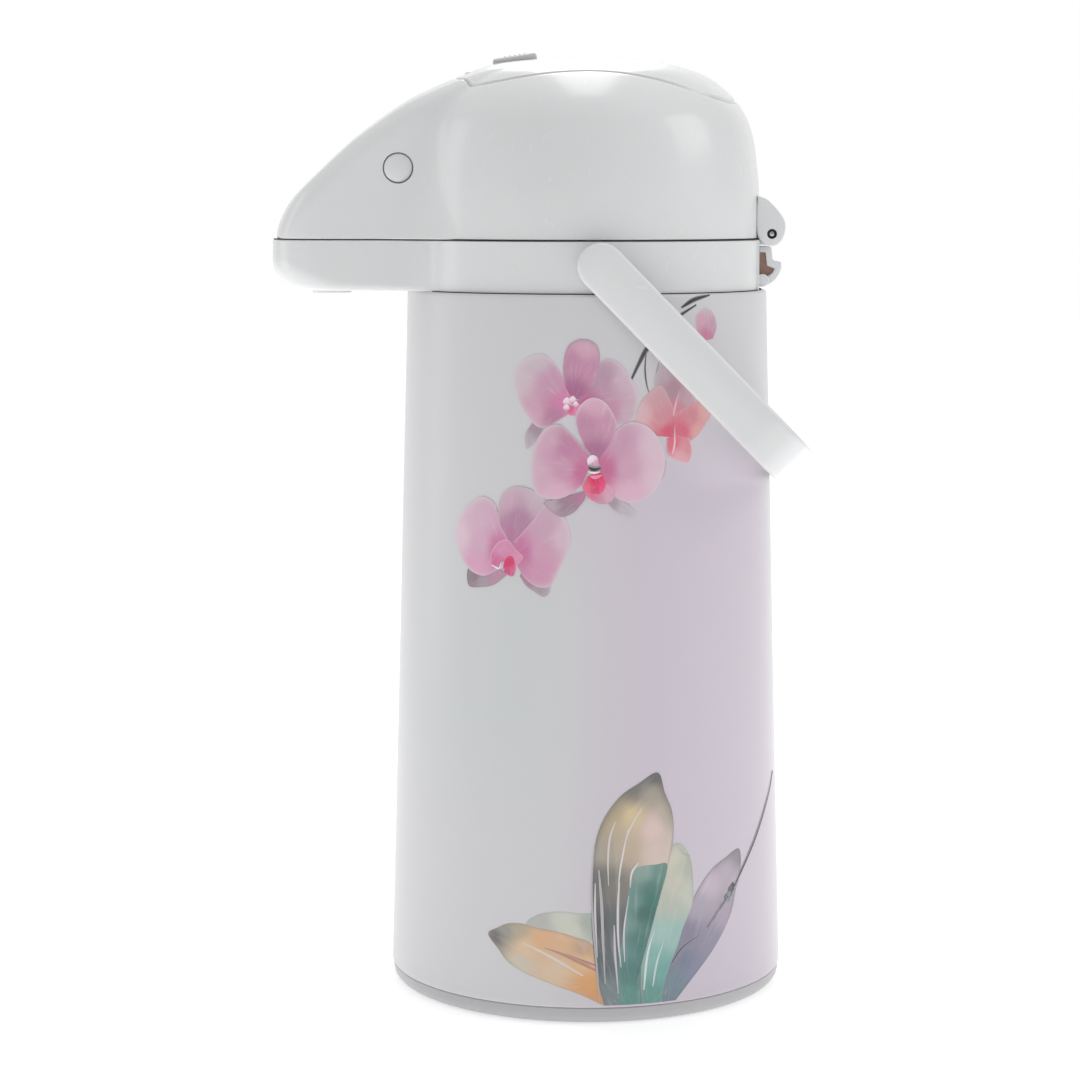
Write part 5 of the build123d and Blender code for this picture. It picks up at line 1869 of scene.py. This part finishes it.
class POT_OT_stage(PieceOperator, bpy.types.Operator):
    """Floor, soft light and camera"""

    bl_idname = "pot.stage"
    bl_label = "Stage"

    def lamp(self, name, place, target, size, power):
        light = bpy.data.lights.new(name, "AREA")
        light.shape = "RECTANGLE"
        light.size, light.size_y = size
        light.energy = power
        made = bpy.data.objects.new(name, light)
        made.location = place
        made.rotation_euler = (Vector(target) - Vector(place)).to_track_quat("-Z", "Y").to_euler()
        bpy.context.scene.collection.objects.link(made)

    def make_floor(self, scene):
        half = 6.0
        mesh = bpy.data.meshes.new("floor")
        corners = [(-half, -half, 0), (half, -half, 0), (half, half, 0), (-half, half, 0)]
        mesh.from_pydata(corners, [], [(0, 1, 2, 3)])
        floor = bpy.data.objects.new("floor", mesh)
        scene.collection.objects.link(floor)
        mesh.materials.append(finish("pale_floor"))

    def make_world(self, scene):
        """Plain white to the camera; a soft tent, brighter above and behind, to everything else."""
        white, shade = (1.0, 1.0, 1.0), (0.28, 0.28, 0.285)
        world = bpy.data.worlds.new("studio")
        world.use_nodes = True
        w = Wiring(world.node_tree)
        back = world.node_tree.nodes["Background"]
        path = w.node("ShaderNodeLightPath")
        split = w.node("ShaderNodeSeparateXYZ")
        w.link(w.node("ShaderNodeTexCoord").outputs["Generated"], split.inputs[0])
        rise = w.maths("MULTIPLY", split.outputs["Z"], split.outputs["Z"])
        backdrop = w.ramp(split.outputs["X"], -0.95, -0.35, 0.85, 0.0)
        tent = w.mix(w.maths("MAXIMUM", rise, backdrop), shade, white)
        w.link(w.mix(path.outputs["Is Camera Ray"], tent, white), back.inputs["Color"])
        back.inputs["Strength"].default_value = 1.0
        scene.world = world

    def make_camera(self, scene):
        stage = scene.pot_stage
        camera = bpy.data.cameras.new("camera")
        camera.lens = stage.lens
        camera.sensor_width = 36.0
        eye = bpy.data.objects.new("camera", camera)
        eye.location = (stage.distance, -stage.offset, stage.height)
        eye.rotation_euler = (pi / 2 - stage.pitch, 0, pi / 2)
        scene.collection.objects.link(eye)
        scene.camera = eye

    def make(self, sizes):
        scene = bpy.context.scene
        self.make_floor(scene)
        self.lamp("top_soft", (-0.50, 0.0, 1.20), (0.0, 0.0, 0.34), (0.34, 1.6), 5.3)
        self.lamp("spout_side", (-0.25, -1.1, 0.35), (0, 0, 0.18), (0.4, 1.0), 1.2)
        self.lamp("hinge_side", (0.25, 1.05, 0.85), (0, 0, 0.36), (0.6, 0.6), 2.1)
        self.make_world(scene)
        scene.view_settings.view_transform = "Standard"
        self.make_camera(scene)


OPERATORS = (
    POT_OT_lid, POT_OT_press_plate, POT_OT_lock_knob, POT_OT_collar, POT_OT_seams, POT_OT_jacket,
    POT_OT_print, POT_OT_handle, POT_OT_lever, POT_OT_buttons, POT_OT_bellows, POT_OT_springs,
    POT_OT_screws, POT_OT_inner_pieces, POT_OT_stage,
)


class POT_PT_panel(bpy.types.Panel):
    """Lists the settings and the pieces of the pump pot"""

    bl_label = "Pump Pot"
    bl_idname = "POT_PT_panel"
    bl_space_type = "VIEW_3D"
    bl_region_type = "UI"
    bl_category = "Pump Pot"

    def draw(self, context):
        for group in (context.scene.pot_sizes, context.scene.pot_colours, context.scene.pot_stage):
            box = self.layout.box()
            for name in group.__annotations__:
                box.prop(group, name)
        for operator in OPERATORS:
            self.layout.operator(operator.bl_idname)


CLASSES = (PotSizes, PotColours, PotStage, *OPERATORS, POT_PT_panel)


def register():
    for item in CLASSES:
        bpy.utils.register_class(item)
    bpy.types.Scene.pot_sizes = bpy.props.PointerProperty(type=PotSizes)
    bpy.types.Scene.pot_colours = bpy.props.PointerProperty(type=PotColours)
    bpy.types.Scene.pot_stage = bpy.props.PointerProperty(type=PotStage)


def unregister():
    for name in ("pot_stage", "pot_colours", "pot_sizes"):
        delattr(bpy.types.Scene, name)
    for item in reversed(CLASSES):
        bpy.utils.unregister_class(item)


def main():
    register()
    for operator in OPERATORS:
        family, name = operator.bl_idname.split(".")
        getattr(getattr(bpy.ops, family), name)()
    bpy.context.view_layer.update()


if __name__ == "__main__":
    main()
